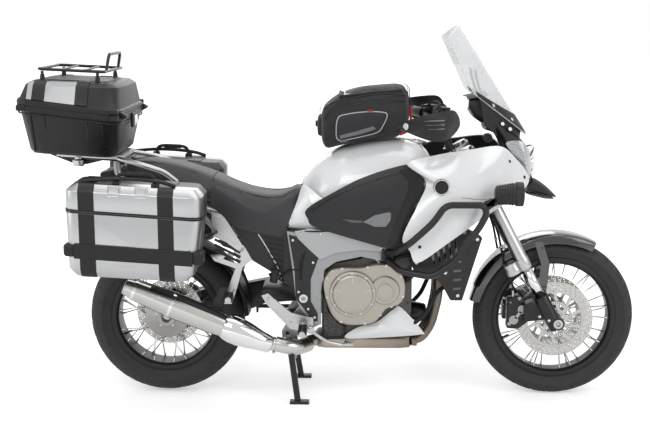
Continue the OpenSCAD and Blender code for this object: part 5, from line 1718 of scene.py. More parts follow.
def build_tank_bag():
    """The tank bag: body, pockets, map window, straps and piping."""
    s = Shape()
    loft_rows(s, BAG_ROWS, 6, 44, 0.45)
    bag = s.make("tank_bag_body", "fabric", "frame", "bag_fabric", replaces=["tank_bag"])
    inflate(bag, 0.007, 3.0, 0.008)

    # Side pockets, puffed out from the bag, with bright piping round them
    for side, tag in ((-1, "right"), (1, "left")):
        outline = [(706, 1158), (740, 1174), (820, 1184), (890, 1181), (899, 1164), (884, 1130), (864, 1104),
                   (800, 1086),
                   (730, 1072), (706, 1074), (699, 1100)]
        ring = [Vector((x, 0, z)) for x, z in outline]
        ring = smooth_path(ring, 4, closed=True)
        mid = sum(ring, Vector()) / len(ring)
        pocket = Shape()
        rings = []
        for k, out in ((1.0, 120), (1.01, 132), (0.985, 142), (0.93, 147), (0.7, 152), (0.35, 154),
                       (0.02, 154.5)):
            rings.append([Vector((mid.x + (p.x - mid.x) * k, side * out,
                                  mid.z + (p.z - mid.z) * k)) for p in ring])
        if side < 0:
            rings = [r[::-1] for r in rings]
        pocket.rings(rings[::-1])
        pocket.make("bag_pocket_" + tag, "fabric", "frame", "bag_fabric", smooth=60)
        piping = Shape()
        piping.tube([(mid.x + (p.x - mid.x) * 0.99, side * 143.5,
                      mid.z + (p.z - mid.z) * 0.99) for p in ring], 2.2, 8,
                    loop=True)
        piping.tube([(702, side * 139, 1128), (760, side * 149, 1148), (890, side * 144, 1164)], 1.6, 8)
        piping.make("bag_piping_" + tag, "piping", "frame", "bag_fabric")
        wedge = Shape()
        wedge.plate([(713, 1090), (846, 1128), (856, 1116), (796, 1097), (716, 1078)], side, 140, 154.8)
        wedge.plate([(716, 1062), (748, 1068), (742, 1078), (714, 1074)], side, 128, 146)
        wedge.make("bag_wedge_" + tag, "grey_fabric", "frame", "bag_fabric", bevel=0.002)
        tab = Shape()
        tab.block((832, side * 146, 1188), (22, 5, 7))
        tab.block((888, side * 139, 1172), (9, 7, 12))
        tab.tube(smooth_path([(950, side * 126, 1092), (985, side * 112, 1110), (994, side * 96, 1150),
                              (992, side * 84, 1200)], 5), 5, 10)
        tab.make("bag_tabs_" + tag, "red_cloth", "frame", "bag_fabric", bevel=0.0015)
        zips = Shape()
        zips.tube(smooth_path([(652, side * 98, 1190), (700, side * 122, 1222), (800, side * 131, 1243),
                               (900, side * 131, 1252),
                               (970, side * 116, 1246)], 6), 3.0, 8)
        zips.tube(smooth_path([(656, side * 106, 1150), (690, side * 124, 1196), (800, side * 138, 1222),
                               (900, side * 137, 1230), (972, side * 119, 1222)], 6), 2.0, 8)
        zips.make("bag_zips_" + tag, "rubber", "frame", "bag_fabric")

    # Map pocket on top: a padded frame round a clear window
    def top(u, v):
        x = 716 + 236 * u
        z = 1249 + 33 * u - 8 * u * u + 3
        return Vector((x, 96 * v, z - 12 * v * v))
    window = Shape()
    window.sheet([[top(0.06 + 0.88 * i / 12, -0.88 + 1.76 * j / 12) for j in range(13)] for i in range(13)],
                 1.5)
    window.make("map_window", "window", "frame", "screen")
    rim = Shape()
    edge = [top(u, v) for u, v in ((0, -0.9), (0.03, -1), (0.5, -1), (0.97, -1), (1, -0.9), (1, 0), (1, 0.9),
                                   (0.97, 1),
                                   (0.5, 1), (0.03, 1), (0, 0.9), (0, 0))]
    rim.tube(smooth_path(edge, 5, closed=True), 5.5, 10, loop=True)
    rim.make("map_frame", "fabric", "frame", "bag_fabric")
    # Grab handle and buckle at the rear, straps over the front
    strap = Shape()
    for y in (-60, 60):
        strap.sheet([[(x, y + dy, z) for dy in (-11, 11)] for x, z in
                     ((975, 1284), (990, 1270), (992, 1200), (984, 1130), (974, 1098))], 2)
    strap.sheet([[(x, dy, z) for dy in (-13, 13)] for x, z in
                 ((640, 1196), (634, 1180), (636, 1130), (644, 1080))], 2)
    strap.make("bag_straps", "rubber", "frame", "bag_fabric")
    pocket = Shape()
    rings = []
    for k, x in ((1.0, 652), (1.02, 640), (0.96, 630), (0.8, 625), (0.4, 623)):
        rings.append([(x, 70 * k * math.copysign(abs(math.cos(a)) ** 0.5, math.cos(a)),
                       1118 + 42 * k * math.copysign(abs(math.sin(a)) ** 0.5, math.sin(a)))
                      for a in (2 * math.pi * j / 32 for j in range(32))])
    pocket.rings([r[::-1] for r in rings])
    pocket.make("bag_rear_pocket", "fabric", "frame", "bag_fabric", smooth=60)
    buckle = Shape()
    buckle.block((620, 0, 1124), (7, 34, 22))
    buckle.block((617, 0, 1124), (4, 18, 26))
    buckle.make("bag_buckle", "black_plastic", "frame", "black_plastic", bevel=0.002)


# ---------- frame, tubes, stands ----------

CRASH_PATH = [(903, 194, 630), (926, 253, 641), (986, 326, 698), (1070, 328, 776), (1118, 326, 846),
              (1262, 322, 846),
              (1276, 316, 812), (1244, 318, 750), (1186, 320, 681), (1160, 318, 625), (1072, 308, 562),
              (950, 262, 574),
              (905, 198, 604)]
RACK_PATH = [(150, 266.7, 760), (150, 266.7, 640), (-225, 266.7, 665), (-225, 266.7, 860), (150, 266.7, 836),
             (150, 266.7, 768)]


def both(path):
    """The path and its mirror."""
    return [[(x, side * y, z) for x, y, z in path] for side in (-1, 1)]


def build_tubes():
    """Crash bars, luggage racks, grab rails and the rear frame's tubes, bent smoothly."""
    crash = Shape()
    for path in both(CRASH_PATH):
        crash.tube(round_path(path, 30, 7), 13, 22)
    for side in (-1, 1):
        crash.plate([(880, 598), (926, 598), (926, 648), (880, 648)], side, 182.3, 198)
        for x, z in ((892, 610), (914, 636)):
            crash.bolt((x, side * 198, z), (0, side, 0), 6, 5)
        crash.plate([(1296, 866), (1262, 836), (1276, 820), (1330, 858), (1340, 880)], side, 300, 312)
    crash.make("crash_bar_tubes", "black_coat", "frame", "black_cast", smooth=45, replaces=["crash_bars"])

    rack = Shape()
    for path in both(RACK_PATH):
        rack.tube(round_path(path, 34, 8), 8, 18)
    for side in (-1, 1):
        rack.tube(smooth_path([(150, side * 266, 702), (206, side * 220, 706), (226, side * 150, 706),
                               (230, side * 134, 706)], 5), 7, 14)
        rack.tube(smooth_path([(-150, side * 266, 857), (-118, side * 220, 866), (-108, side * 150, 880),
                               (-108, side * 127, 882)], 5),
                  7, 14)
        rack.tube([(-40, side * 266.7, 655), (-40, side * 266.7, 850)], 6, 14)
        for x, z in ((150, 740), (-225, 690), (150, 664), (-225, 840)):
            rack.lathe((x, side * 268, z), (0, side, 0), [(0, 13), (6, 13), (8, 11), (12, 6)], 24)
    rack.make("luggage_rack_tubes", "black_coat", "frame", "black_cast", smooth=45,
              replaces=["luggage_racks"])

    rail = Shape()
    for path in both([(70, 139, 905), (20, 150, 946), (-60, 150, 972), (-146, 126, 990), (-175, 113, 998)]):
        rail.tube(round_path(path, 30, 7), 10, 18)
    rail.make("grab_rail_grips", "silver", "frame", "silver_cast", smooth=45)

    tail = Shape()
    for path in both([(580, 136.7, 640), (300, 128, 760), (185, 116, 792), (-140, 112, 885), (-172, 112, 940),
                      (-172, 112, 983.8)]):
        tail.tube(round_path(path, 24, 6), 13.3, 18)
    for path in both([(575, 136.7, 540), (305, 127, 628), (116, 115, 814)]):
        tail.tube(round_path(path, 24, 6), 13.3, 18)
    tail.make("rear_frame_tubes", "tube_grey", "frame", "tube_grey", smooth=45)

    headers = Shape()
    header = [(1064.3, 80, 650), (1104, 80, 650), (1118, 74, 560), (1116, 62, 420), (1090, 50, 300),
              (1052, 48, 244), (1012.3, 48, 232)]
    for share in (-1, 0, 1):
        headers.tube(round_path([(x, y * share, z) for x, y, z in header], 34, 7), 19.2, 22)
        headers.lathe((1062, 80 * share, 650), (1, 0, 0), [(0, 27), (7, 27), (8, 24), (14, 22)], 28)
        headers.lathe((1016, 48 * share, 232), (1, 0, 0), [(-3, 23), (16, 23), (18, 20)], 28)
    headers.tube(round_path([(619.7, -44, 232), (580, -80, 232), (545, -180, 238), (500, -206, 250),
                             (440, -210, 264),
                             (342, -232, 306)], 30, 7), 25.2, 26)
    box = []
    for x, k in ((612, 0.62), (626, 0.9), (660, 1.0), (960, 1.0), (1000, 0.92), (1014, 0.66)):
        box.append([(x, 80 * k * math.copysign(abs(math.cos(a)) ** 0.55, math.cos(a)),
                     230 + 33 * k * math.copysign(abs(math.sin(a)) ** 0.55, math.sin(a)))
                    for a in (2 * math.pi * j / 44 for j in range(44))])
    headers.rings(box)
    headers.make("header_tubes", "headers", "frame", "header_steel", smooth=45, replaces=["header_pipes"])
    clamps = Shape()
    for p, d, r in (((352, -230, 301), (-0.86, -0.16, 0.4), 29), ((452, -209, 262), (-1, 0, 0.16), 28)):
        clamps.lathe(p, d, [(-7, r - 2), (-7, r), (7, r), (7, r - 2)], 40)
        clamps.block(Vector(p) + Vector((0, 0, -r - 5)), (12, 8, 12))
        clamps.bolt(Vector(p) + Vector((0, -8, -r - 6)), (0, -1, 0), 4.2, 5)
    clamps.make("exhaust_clamps", "bright", "frame", "silencer_steel", bevel=0.0006)


SILENCER = [(0, 28, 28), (.06, 40, 38), (.3, 50, 46), (.6, 53, 48), (.9, 44, 42), (1, 36, 36)]


def silencer_row(t):
    for a, b in zip(SILENCER, SILENCER[1:]):
        if t <= b[0]:
            k = (t - a[0]) / (b[0] - a[0])
            k = k * k * (3 - 2 * k) * 0.5 + k * 0.5
            return [p + (q - p) * k for p, q in zip(a, b)][1:]
    return list(SILENCER[-1][1:])


def silencer_point(t, a, grow=0.0):
    start, end = Vector((338, -233, 308)), Vector((-122, -252, 507))
    d = unit(end - start)
    side = Vector((0, 0, 1))
    up = (side - side.dot(d) * d).normalized()
    across = d.cross(up)
    high, wide = silencer_row(t)
    return start.lerp(end, t) + up * (high + grow) * math.sin(a) + across * (wide + grow) * math.cos(a)


def build_exhaust():
    """The silencer with its stripe, bands, tip, sleeve, middle pipe and hanger."""
    count = 72
    s = Shape()
    s.rings([[silencer_point(i / 40, 2 * math.pi * j / count) for j in range(count)] for i in range(41)])
    s.make("silencer_body", "exhaust", "frame", "silencer_steel", smooth=50, replaces=["silencer"])
    # A black sheet along the silencer's upper side, where its chrome reflects dark: a painted dark
    # reflection.
    painted_reflection = Shape()
    grid = [[silencer_point(0.16 + 0.66 * i / 24, math.radians(100 + a + 6 * i / 24), 0.6)
             for a in range(0, 37, 4)] for i in range(25)]
    painted_reflection.sheet(grid, 1.3)
    painted_reflection.make("silencer_painted_reflection", "black_plastic", "frame", "silencer_steel", bevel=0.0004)
    bands = Shape()
    for t in (0.10, 0.62, 0.93):
        bands.rings([[silencer_point(u, 2 * math.pi * j / count, g) for j in range(count)]
                     for u, g in ((t - .012, -1), (t - .012, 1.4), (t + .012, 1.4), (t + .012, -1))])
    bands.make("silencer_bands", "chrome", "frame", "silencer_steel", bevel=0.0004)
    tip = Shape()
    d = unit(Vector((-122, -252, 507)) - Vector((338, -233, 308)))
    end = silencer_point(1.0, 0).lerp(silencer_point(1.0, math.pi), 0.5)
    tip.ring(end, d, [(-4, 22), (-4, 35), (2, 35.5), (7, 33), (8, 28), (4, 22), (-22, 20)], 56)
    tip.make("silencer_tip", "silver", "frame", "silencer_steel", bevel=0.0005)
    core = Shape()
    core.lathe(end - d * 3, d, [(0, 21), (1, 21), (1.5, 14), (-1.0, 12)], 40)
    core.make("silencer_core", "core", "frame", "silencer_steel")
    sleeve = Shape()
    front = Vector((338, -233, 308))
    sleeve.lathe(front, d, [(-118, 26), (-112, 34), (-60, 41), (-20, 50), (20, 55), (54, 56), (78, 53),
                            (90, 48)], 64)
    sleeve.make("silencer_sleeve", "chrome", "frame", "silencer_steel", smooth=50)
    middle = Shape()
    middle.tube(smooth_path([(460, -208, 262), (500, -206, 252), (545, -182, 240), (586, -120, 234)], 8),
                30.5, 36)
    middle.make("exhaust_middle", "exhaust", "frame", "silencer_steel", smooth=50)
    hanger = Shape()
    a = silencer_point(0.30, math.radians(90), -2)
    hanger.prism([(a.x - 16, a.z), (a.x + 22, a.z - 8), (a.x + 48, a.z + 78), (a.x + 24, a.z + 82)], -214,
                 -206)
    hanger.make("silencer_hanger", "black_coat", "frame", "black_cast", bevel=0.002)


def cover(shape, outline, y0, y1, side):
    """An engine cover: its outline drawn in towards the outer face."""
    mid = sum((Vector((x, 0, z)) for x, z in outline), Vector()) / len(outline)
    ring = smooth_path([(x, 0, z) for x, z in outline], 5, closed=True)
    rows = []
    for k, y in ((1.0, y0), (1.0, y1 - 14), (0.985, y1 - 5), (0.955, y1 - 1), (0.90, y1), (0.02, y1)):
        rows.append([Vector((mid.x + (p.x - mid.x) * k, side * y, mid.z + (p.z - mid.z) * k)) for p in ring])
    return shape.rings(rows if side > 0 else [r[::-1] for r in rows])


CLUTCH_OUTLINE = [(650, 500), (672, 555), (720, 572), (800, 574), (850, 585), (905, 586), (950, 560),
                  (975, 520), (975, 455),
                  (950, 420), (905, 405), (880, 375), (850, 345), (780, 335), (715, 345), (672, 400)]


def build_engine():
    """Covers, cooling ribs, bolts, pipes and the parts hung round the engine."""
    s = Shape()
    cover(s, CLUTCH_OUTLINE, 150, 199, -1)
    dome = (767, -198, 468)
    s.lathe(dome, (0, -1, 0), [(-4, 92.5), (14, 92.5), (18, 90.5), (20, 86), (20, 81), (26, 79), (29, 75),
                               (30.6, 66), (31.6, 50), (32.6, 30), (33, 6)], 96)
    s.lathe((895, -198, 482), (0, -1, 0), [(-4, 57.5), (9, 57.5), (13, 55), (15, 49), (15, 40), (12.8, 39),
                                           (12.8, 30), (16.6, 29),
                                           (17.6, 24), (17.6, 4)], 80)
    s.make("clutch_case", "bronze_cover", "frame", "cover_bronze", smooth=35, replaces=["clutch_cover"])
    bolts = Shape()
    for i in range(9):
        a = 2 * math.pi * i / 9 + 0.2
        bolts.bolt((767 + 83 * math.cos(a), -215, 468 + 83 * math.sin(a)), (0, -1, 0), 5, 5)
    for i in range(5):
        a = 2 * math.pi * i / 5 + 0.5
        bolts.bolt((895 + 49 * math.cos(a), -208, 482 + 49 * math.sin(a)), (0, -1, 0), 4, 4)
    rim = smooth_path([(x, 0, z) for x, z in CLUTCH_OUTLINE], 2, closed=True)
    mid = Vector((812, 0, 466))
    for k in range(1, len(rim), 3):
        p = mid + (rim[k] - mid) * 0.945
        far = (p - Vector((767, 0, 468))).length
        if far > 100 and (p - Vector((895, 0, 482))).length > 62:
            bolts.bolt((p.x, -198, p.z), (0, -1, 0), 4.4, 4.5)
    bolts.make("cover_bolts", "bright", "frame", "engine_cast")
    marks = Shape()
    for i in range(5):
        a = math.radians(90 + 72 * i)
        p = Vector((767 + 60 * math.cos(a), -229.5, 468 + 60 * math.sin(a)))
        marks.block(p, (22, 2.6, 3.4), Matrix.Rotation(-a, 3, "Y"))
    marks.make("cover_marks", "silver", "frame", "cover_bronze", bevel=0.0005)

    left = Shape()
    cover(left, CLUTCH_OUTLINE, 150, 189, 1)
    left.lathe((880, 188, 482), (0, 1, 0), [(-4, 77.5), (12, 77.5), (20, 74), (26, 66), (27, 52), (23, 50),
                                            (23, 30), (26, 28), (26, 4)], 88)
    for i in range(7):
        a = 2 * math.pi * i / 7
        left.bolt((880 + 70 * math.cos(a), 204, 482 + 70 * math.sin(a)), (0, 1, 0), 4.6, 4.5)
    left.make("generator_case", "bronze_cover", "frame", "cover_bronze", smooth=35,
              replaces=["generator_cover"])

    # Cylinder ribs, head bolts and the hoses over the covers
    ribs, pipes, rubber = Shape(), Shape(), Shape()
    for side in (-1, 1):
        for k in range(5):
            z = 604 + 13 * k
            ribs.plate([(850 + 24 * k, z), (1002, z - 4), (1002, z + 1), (850 + 24 * k, z + 5)], side, 149.4,
                       155)
        for x, z in ((990, 416), (990, 560), (690, 330), (970, 320), (1030, 640), (1030, 676), (960, 690)):
            ribs.bolt((x, side * 149.6, z), (0, side, 0), 6, 5)
        rubber.tube(smooth_path([(940, side * 156, 505), (985, side * 172, 520), (1020, side * 176, 560),
                                 (1060, side * 168, 590),
                                 (1120, side * 160, 600), (1150, side * 150, 600)], 7), 11, 18)
        rubber.tube(smooth_path([(905, side * 160, 560), (930, side * 172, 600), (990, side * 168, 622),
                                 (1060, side * 140, 640)], 7),
                    7, 14)
        rubber.tube(smooth_path([(1010, side * 150, 330), (1060, side * 166, 380), (1100, side * 168, 460),
                                 (1150, side * 160, 500)],
                                7), 9, 14)
        pipes.tube(smooth_path([(668, side * 160, 606), (760, side * 170, 622), (850, side * 172, 606),
                                (884, side * 168, 570)], 7), 5.5, 12)
        for p, d in (((1020, 176, 560), (0.7, -0.1, 0.6)), ((1110, 161, 598), (1, -0.1, 0.1))):
            pipes.lathe((p[0], side * p[1], p[2]), (d[0], side * d[1], d[2]), [(-4, 12.6), (4, 12.6)], 28)
    ribs.make("engine_ribs", "engine", "frame", "engine_cast", bevel=0.001)
    pipes.make("engine_pipes", "silver", "frame", "engine_cast")
    rubber.make("engine_hoses", "rubber", "frame", "hose")
    filt = Shape()
    filt.lathe((1000, 0, 350), (1, 0, -0.2), [(0, 34), (6, 38), (58, 38), (66, 34), (70, 20)], 30)
    filt.make("oil_filter", "black_coat", "frame", "black_cast", bevel=0.002)
    drilled = Shape()
    outline = [(646, 470), (666, 392), (712, 338), (742, 322), (730, 272), (650, 268), (644, 330)]
    for side in (-1, 1):
        drilled.plate([(x + (684 - x) * 0.18, z + (350 - z) * 0.18) for x, z in outline], side, 166, 171.4)
        for x, z in ((660, 452), (728, 300), (664, 288), (662, 380)):
            drilled.bolt((x, side * 170, z), (0, side, 0), 5, 4)
    drilled.make("bracket_meshes", "mesh", "frame", "black_plastic", bevel=0.001)
    belly = Shape()
    for side in (-1, 1):
        edge = [(738, 157, 272), (790, 157, 318), (862, 157, 338), (930, 157, 392), (962, 157, 400),
                (1048, 157, 304), (1040, 157, 288),
                (900, 157, 276)]
        shield(belly, edge, (930, 166, 320), 7, 4, side, rings=8)
    belly.make("belly_shells", "white", "frame", "white_paint", smooth=45, replaces=["belly_covers"])


def build_radiator():
    """Cooling fins, their frame, and the cowls' slots and screws."""
    fins = Shape()
    for k in range(34):
        z = 480 + 6.6 * k
        lean = -20 * (z - 470) / 246
        fins.block((1186 + lean, 0, z), (3, 340, 1.4))
    fins.make("radiator_fins", "core", "frame", "radiator")
    edge = Shape()
    edge.tube([(1188, -184, 474), (1188, 184, 474), (1168, 184, 712), (1168, -184, 712), (1188, -184, 474)],
              5, 12)
    edge.make("radiator_edge", "black_coat", "frame", "radiator")
    slots, screws = Shape(), Shape()
    for side in (-1, 1):
        for k in range(5):
            x = 1070 + 22 * k
            slots.plate([(x, 646 + 12 * k), (x + 10, 650 + 12 * k), (x + 22, 596 + 8 * k),
                         (x + 12, 594 + 8 * k)],
                        side, 222, 227.4)
        for k in range(4):
            z = 490 + 36 * k
            slots.plate([(1160, z), (1190, z + 2), (1194, z + 12), (1162, z + 10)], side, 222, 227.4)
        for x, z in ((1016, 600), (1056, 640), (1200, 722), (1252, 694), (1180, 468), (1130, 560)):
            screws.lathe((x, side * 226.4, z), (0, side, 0), [(-1, 7), (2, 7), (3, 6), (3, 3), (2, 2.8)], 24)
    slots.make("cowl_slots", "gloss_black", "frame", "dark_plastic", bevel=0.001)
    screws.make("radiator_cowl_screws", "bright", "frame", "dark_plastic")
    lamp, glass, rings = Shape(), Shape(), Shape()
    for side in (-1, 1):
        c = (1305, side * 306, 886)
        profile = [(0, 22), (4, 30)]
        for k in range(7):
            x = 8 + 9.5 * k
            r = 31 + 1.6 * k
            profile += [(x, r + 2.6), (x + 4.6, r + 2.9), (x + 5, r), (x + 9.3, r + 0.5)]
        profile += [(78, 44.5), (80, 46.4), (104, 46.6), (106, 44.5), (106, 40), (100, 39)]
        lamp.lathe(c, (1, 0, 0), profile, 64)
        rings.ring((c[0] + 101, c[1], c[2]), (1, 0, 0), [(0, 37), (3, 38), (5.5, 41), (5.5, 44), (0, 44)], 64)
        glass.lathe((c[0] + 98, c[1], c[2]), (1, 0, 0), [(0, 39), (3, 38.6), (6, 30), (7.2, 16), (7.6, 3)],
                    56)
    lamp.make("fog_lamp_shells", "dark_panel", "frame", "black_plastic", smooth=30, replaces=["fog_lamps"])
    rings.make("fog_lamp_rims", "black_coat", "frame", "black_plastic")
    glass.make("fog_lamp_glass", "lens", "frame", "lens")
    stay = Shape()
    for side in (-1, 1):
        stay.plate([(1300, 846), (1360, 846), (1352, 850), (1330, 868), (1310, 862)], side, 300, 314)
        stay.plate([(1262, 836), (1312, 842), (1330, 866), (1306, 872), (1266, 858)], side, 300, 312)
        stay.bolt((1322, side * 313, 856), (0, side, 0), 6, 5)
    stay.make("fog_lamp_brackets", "black_coat", "frame", "black_cast", bevel=0.002)


def build_side():
    """Louvred side covers, footrests, heel plates, pedals and brackets."""
    louvres, edge = Shape(), Shape()
    for side in (-1, 1):
        for k in range(9):
            z = 690 - 21 * k
            x0, x1 = 414 + 7 * k, 492
            louvres.plate([(x0, z), (x1, z - 12), (x1, z - 22), (x0 + 6, z - 9)], side, 166, 173)
        edge.tube(smooth_path([(392, side * 169, 700), (424, side * 169, 648), (468, side * 169, 566),
                               (480, side * 169, 522)], 6),
                  2.8, 12)
    louvres.make("side_louvres", "black_plastic", "frame", "dark_plastic", bevel=0.0016)
    edge.make("side_cover_edges", "silver", "frame", "silver_cast")

    # Silver plates of the rear frame with black rods behind them
    sheets, rods = Shape(), Shape()
    for side in (-1, 1):
        sheets.plate([(206, 786), (252, 776), (330, 650), (316, 624), (262, 664), (206, 690)], side, 150.2,
                     156)
        sheets.plate([(216, 774), (248, 765), (312, 664), (310, 648), (262, 682), (216, 704)], side, 155, 158)
        for k in range(3):
            rods.tube([(216, side * 153, 676 - 22 * k), (318, side * 153, 622 - 20 * k)], 5.5, 12)
    sheets.make("rear_frame_plates", "silver", "frame", "tube_grey", bevel=0.002)
    rods.make("rear_frame_rods", "black_coat", "frame", "tube_grey")

    plate, rubber, steel = Shape(), Shape(), Shape()
    heel = [(404, 455), (430, 464), (520, 388), (572, 372), (610, 366), (610, 320), (560, 312), (520, 318),
            (424, 420)]
    for side in (-1, 1):
        plate.plate(heel, side, 187.3, 194)
        plate.plate([(x + (520 - x) * 0.16, z + (384 - z) * 0.16) for x, z in heel], side, 193, 196)
        for x, z in ((432, 444), (598, 356), (598, 332), (520, 350)):
            steel.bolt((x, side * 195.4, z), (0, side, 0), 5.4, 4.5)
        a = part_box("footrests")
        reach = a[1].y * 1000
        rubber.block((570, side * (reach - 56), 338), (33, 96, 13))
        for k in range(7):
            rubber.block((570, side * (reach - 98 + 14 * k), 346), (32, 5, 6))
        steel.block((570, side * (reach - 56), 328), (36, 100, 8))
        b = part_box("passenger_footrests")[1].y * 1000
        rubber.block((276, side * (b - 44), 450), (28, 78, 20))
        for k in range(6):
            rubber.block((276, side * (b - 78 + 13 * k), 461), (27, 5, 5))
        steel.block((276, side * (b - 44), 438), (30, 80, 6))
        for x, z in ((326, 632), (282, 604), (292, 466), (222, 600)):
            steel.bolt((x, side * 149.7, z), (0, side, 0), 5.4, 5)
    plate.make("heel_plates", "silver", "frame", "silver_cast", bevel=0.0014)
    rubber.make("peg_rubbers", "rubber", "frame", "black_plastic", bevel=0.0015)
    steel.make("peg_plates", "silver", "frame", "silver_cast", bevel=0.001)
    pedal = Shape()
    pedal.tube(smooth_path([(600, -202, 316), (660, -206, 276), (716, -214, 262), (742, -222, 266)], 6), 7,
               14)
    pedal.block((752, -226, 270), (34, 42, 9))
    for k in range(4):
        pedal.block((740 + 8 * k, -226, 276), (4, 40, 5))
    pedal.lathe((600, -196, 318), (0, -1, 0), [(0, 15), (14, 15), (16, 12)], 28)
    pedal.tube(smooth_path([(600, 202, 316), (660, 206, 300), (722, 210, 306)], 6), 6, 14)
    pedal.lathe((724, 200, 308), (0, 1, 0), [(0, 8), (4, 10), (44, 10), (48, 8)], 20)
    pedal.make("foot_pedals", "silver", "frame", "silver_cast", bevel=0.001)

    guard = Shape()
    for side in (-1, 1):
        for x, z in ((530, 680), (610, 590), (560, 560), (590, 400), (552, 470), (616, 366)):
            guard.bolt((x, side * 186, z), (0, side, 0), 5.6, 4.6)
        guard.lathe((571, side * 172, 442), (0, side, 0), [(0, 19), (12, 19), (14, 17), (14, 9), (9, 8)], 40)
        for x, z in ((640, 706), (880, 650), (560, 706)):
            guard.bolt((x, side * 190, z), (0, side, 0), 5.6, 4.6)
    guard.make("frame_bolts", "bright", "frame", "frame_grey")
    hydraulic = Shape()
    hydraulic.lathe((452, -200, 512), (0.2, 0, 1), [(0, 14), (3, 16), (40, 16), (42, 18), (52, 18), (53, 15)],
                    32)
    hydraulic.make("rear_reservoir", "black_plastic", "frame", "black_plastic", bevel=0.001)
    boots = Shape()
    for side in (-1, 1):
        boots.tube(smooth_path([(640, side * 168, 700), (596, side * 176, 660), (566, side * 190, 600),
                                (560, side * 190, 520)], 6), 5, 12)
        boots.tube(smooth_path([(470, side * 172, 520), (520, side * 178, 556), (560, side * 190, 560)], 6),
                   4, 10)
    boots.make("frame_cables", "rubber", "frame", "hose")


def build_swingarm():
    """Final drive, shock spring and rear caliper."""
    drive, bolts = Shape(), Shape()
    drive.lathe((0, 90, REAR_Z), (0, 1, 0), [(-20, 84), (30, 86), (38, 82), (44, 70), (44, 52), (48, 50),
                                             (48, 18), (44, 16)], 64)
    for i in range(6):
        a = 2 * math.pi * (i + 0.5) / 6
        bolts.bolt((74 * math.cos(a), 130, REAR_Z + 74 * math.sin(a)), (0, 1, 0), 5.5, 5)
        drive.block((66 * math.cos(a), 128, REAR_Z + 66 * math.sin(a)), (30, 8, 8),
                    Matrix.Rotation(-a, 3, "Y"))
    drive.make("final_drive_case", "black_coat", "frame", "black_cast", bevel=0.0015)
    bolts.lathe((0, 134, REAR_Z), (0, 1, 0), [(0, 20), (4, 20), (5, 18), (5, 10), (3, 9)], 6)
    bolts.make("final_drive_bolts", "bright", "frame", "silver_cast")
    spring = Shape()
    foot, eye = Vector((470, 0, 472)), Vector((590, 0, 690))
    d = unit(eye - foot)
    side = unit(Vector((0, 1, 0)))
    other = d.cross(side)
    path = []
    for k in range(8 * 24 + 1):
        a = 2 * math.pi * k / 24
        t = 0.14 + 0.66 * k / (8 * 24)
        path.append(foot.lerp(eye, t) + 36 * (math.cos(a) * side + math.sin(a) * other))
    spring.tube(path, 5.6, 12)
    spring.make("shock_spring", "silver", "frame", "spring_steel")
    caliper = Shape()
    caliper.prism([(83, 366), (120, 372), (136, 392), (120, 430), (86, 450), (54, 404)], 45.6, 64)
    caliper.prism([(128, 400), (134, 404), (118, 432), (112, 428)], 37, 62)
    caliper.lathe((98, 62, 404), (0, 1, 0), [(0, 22), (6, 22), (8, 19), (8, 10), (6, 9)], 36)
    caliper.make("rear_caliper", "black_coat", "frame", "black_cast", bevel=0.002)


def build_tail():
    """Tail light, indicators, plate holder and the rack's carrier plate."""
    red, amber, body = Shape(), Shape(), Shape()
    rows = []
    for x, k in ((-240, 1.0), (-246, 0.99), (-252, 0.93), (-256, 0.8), (-257, 0.02)):
        rows.append([(x, 62 * k * math.copysign(abs(math.cos(a)) ** 0.6, math.cos(a)),
                      908 + 24 * k * math.copysign(abs(math.sin(a)) ** 0.6, math.sin(a)))
                     for a in (2 * math.pi * j / 40 for j in range(40))])
    red.rings(rows)
    red.block((-290, 0, 738), (4, 46, 26))
    red.make("tail_light", "red_lens", "frame", "tail_black", bevel=0.0012)
    for side in (-1, 1):
        body.tube([(-236, side * 60, 846), (-246, side * 104, 846)], 8, 14)
        body.lathe((-222, side * 120, 846), (-1, 0, 0), [(0, 10), (8, 19), (26, 24), (34, 24)], 32)
        amber.lathe((-255, side * 120, 846), (-1, 0, 0), [(0, 22.6), (4, 22), (9, 16), (11, 3)], 32)
    body.prism([(-246, 862), (-262, 856), (-300, 706), (-288, 702), (-250, 800)], -74, 74)
    body.block((-290, 0, 778), (8, 16, 8))
    body.make("plate_holder", "black_plastic", "frame", "tail_black", bevel=0.002)
    amber.make("tail_indicators", "amber", "frame", "lens")
    rack = Shape()
    for side in (-1, 1):
        for x in (-390, -310, -230, -165):
            z = 1028 - (x + 485) * 20 / 313 - 0.3
            rack.bolt((x, side * 108, z - 15.5), (0, 0, -1), 6, 6)
        rack.tube([(-400, side * 84, 1003), (-160, side * 84, 989)], 7, 14)
    rack.make("carrier_bolts", "bright", "frame", "silver_cast")
    fins = Shape()
    for side in (-1, 1):
        fins.plate([(-200, 868), (-140, 888), (60, 836), (190, 790), (176, 772), (40, 812), (-130, 862)],
                   side, 122, 130)
    fins.make("tail_panels", "black_plastic", "frame", "tail_black", bevel=0.003)


def build_stands():
    """Feet, springs and bolts of the two stands."""
    s = Shape()
    for side in (-1, 1):
        s.lathe((505, side * 118, 290), (0, side, 0), [(-18, 20), (12, 20), (14, 16)], 32)
        s.block((553, side * 167, 6.5), (76, 34, 9))
        s.block((553, side * 167, 2.6), (60, 28, 5))
    s.make("centre_stand_feet", "black_coat", "centre_stand", "stand_black", bevel=0.002)
    path = []
    a, b = Vector((520, -96, 262)), Vector((532, -96, 172))
    for k in range(14 * 12 + 1):
        t = k / (14 * 12)
        ang = 2 * math.pi * k / 12
        path.append(a.lerp(b, t) + Vector((8 * math.cos(ang), 8 * math.sin(ang), 0)))
    spring = Shape().tube(path, 1.8, 8)
    spring.make("centre_stand_spring", "bright", "centre_stand", "spring_steel")
    pivot = Shape()
    pivot.lathe((628, 178, 303), (0, 1, 0), [(0, 16), (24, 16), (26, 13)], 32)
    pivot.bolt((628, 203, 303), (0, 1, 0), 8, 5)
    pivot.make("side_stand_pivot", "silver", "side_stand", "stand_black", bevel=0.001)


# ---------- the stage ----------

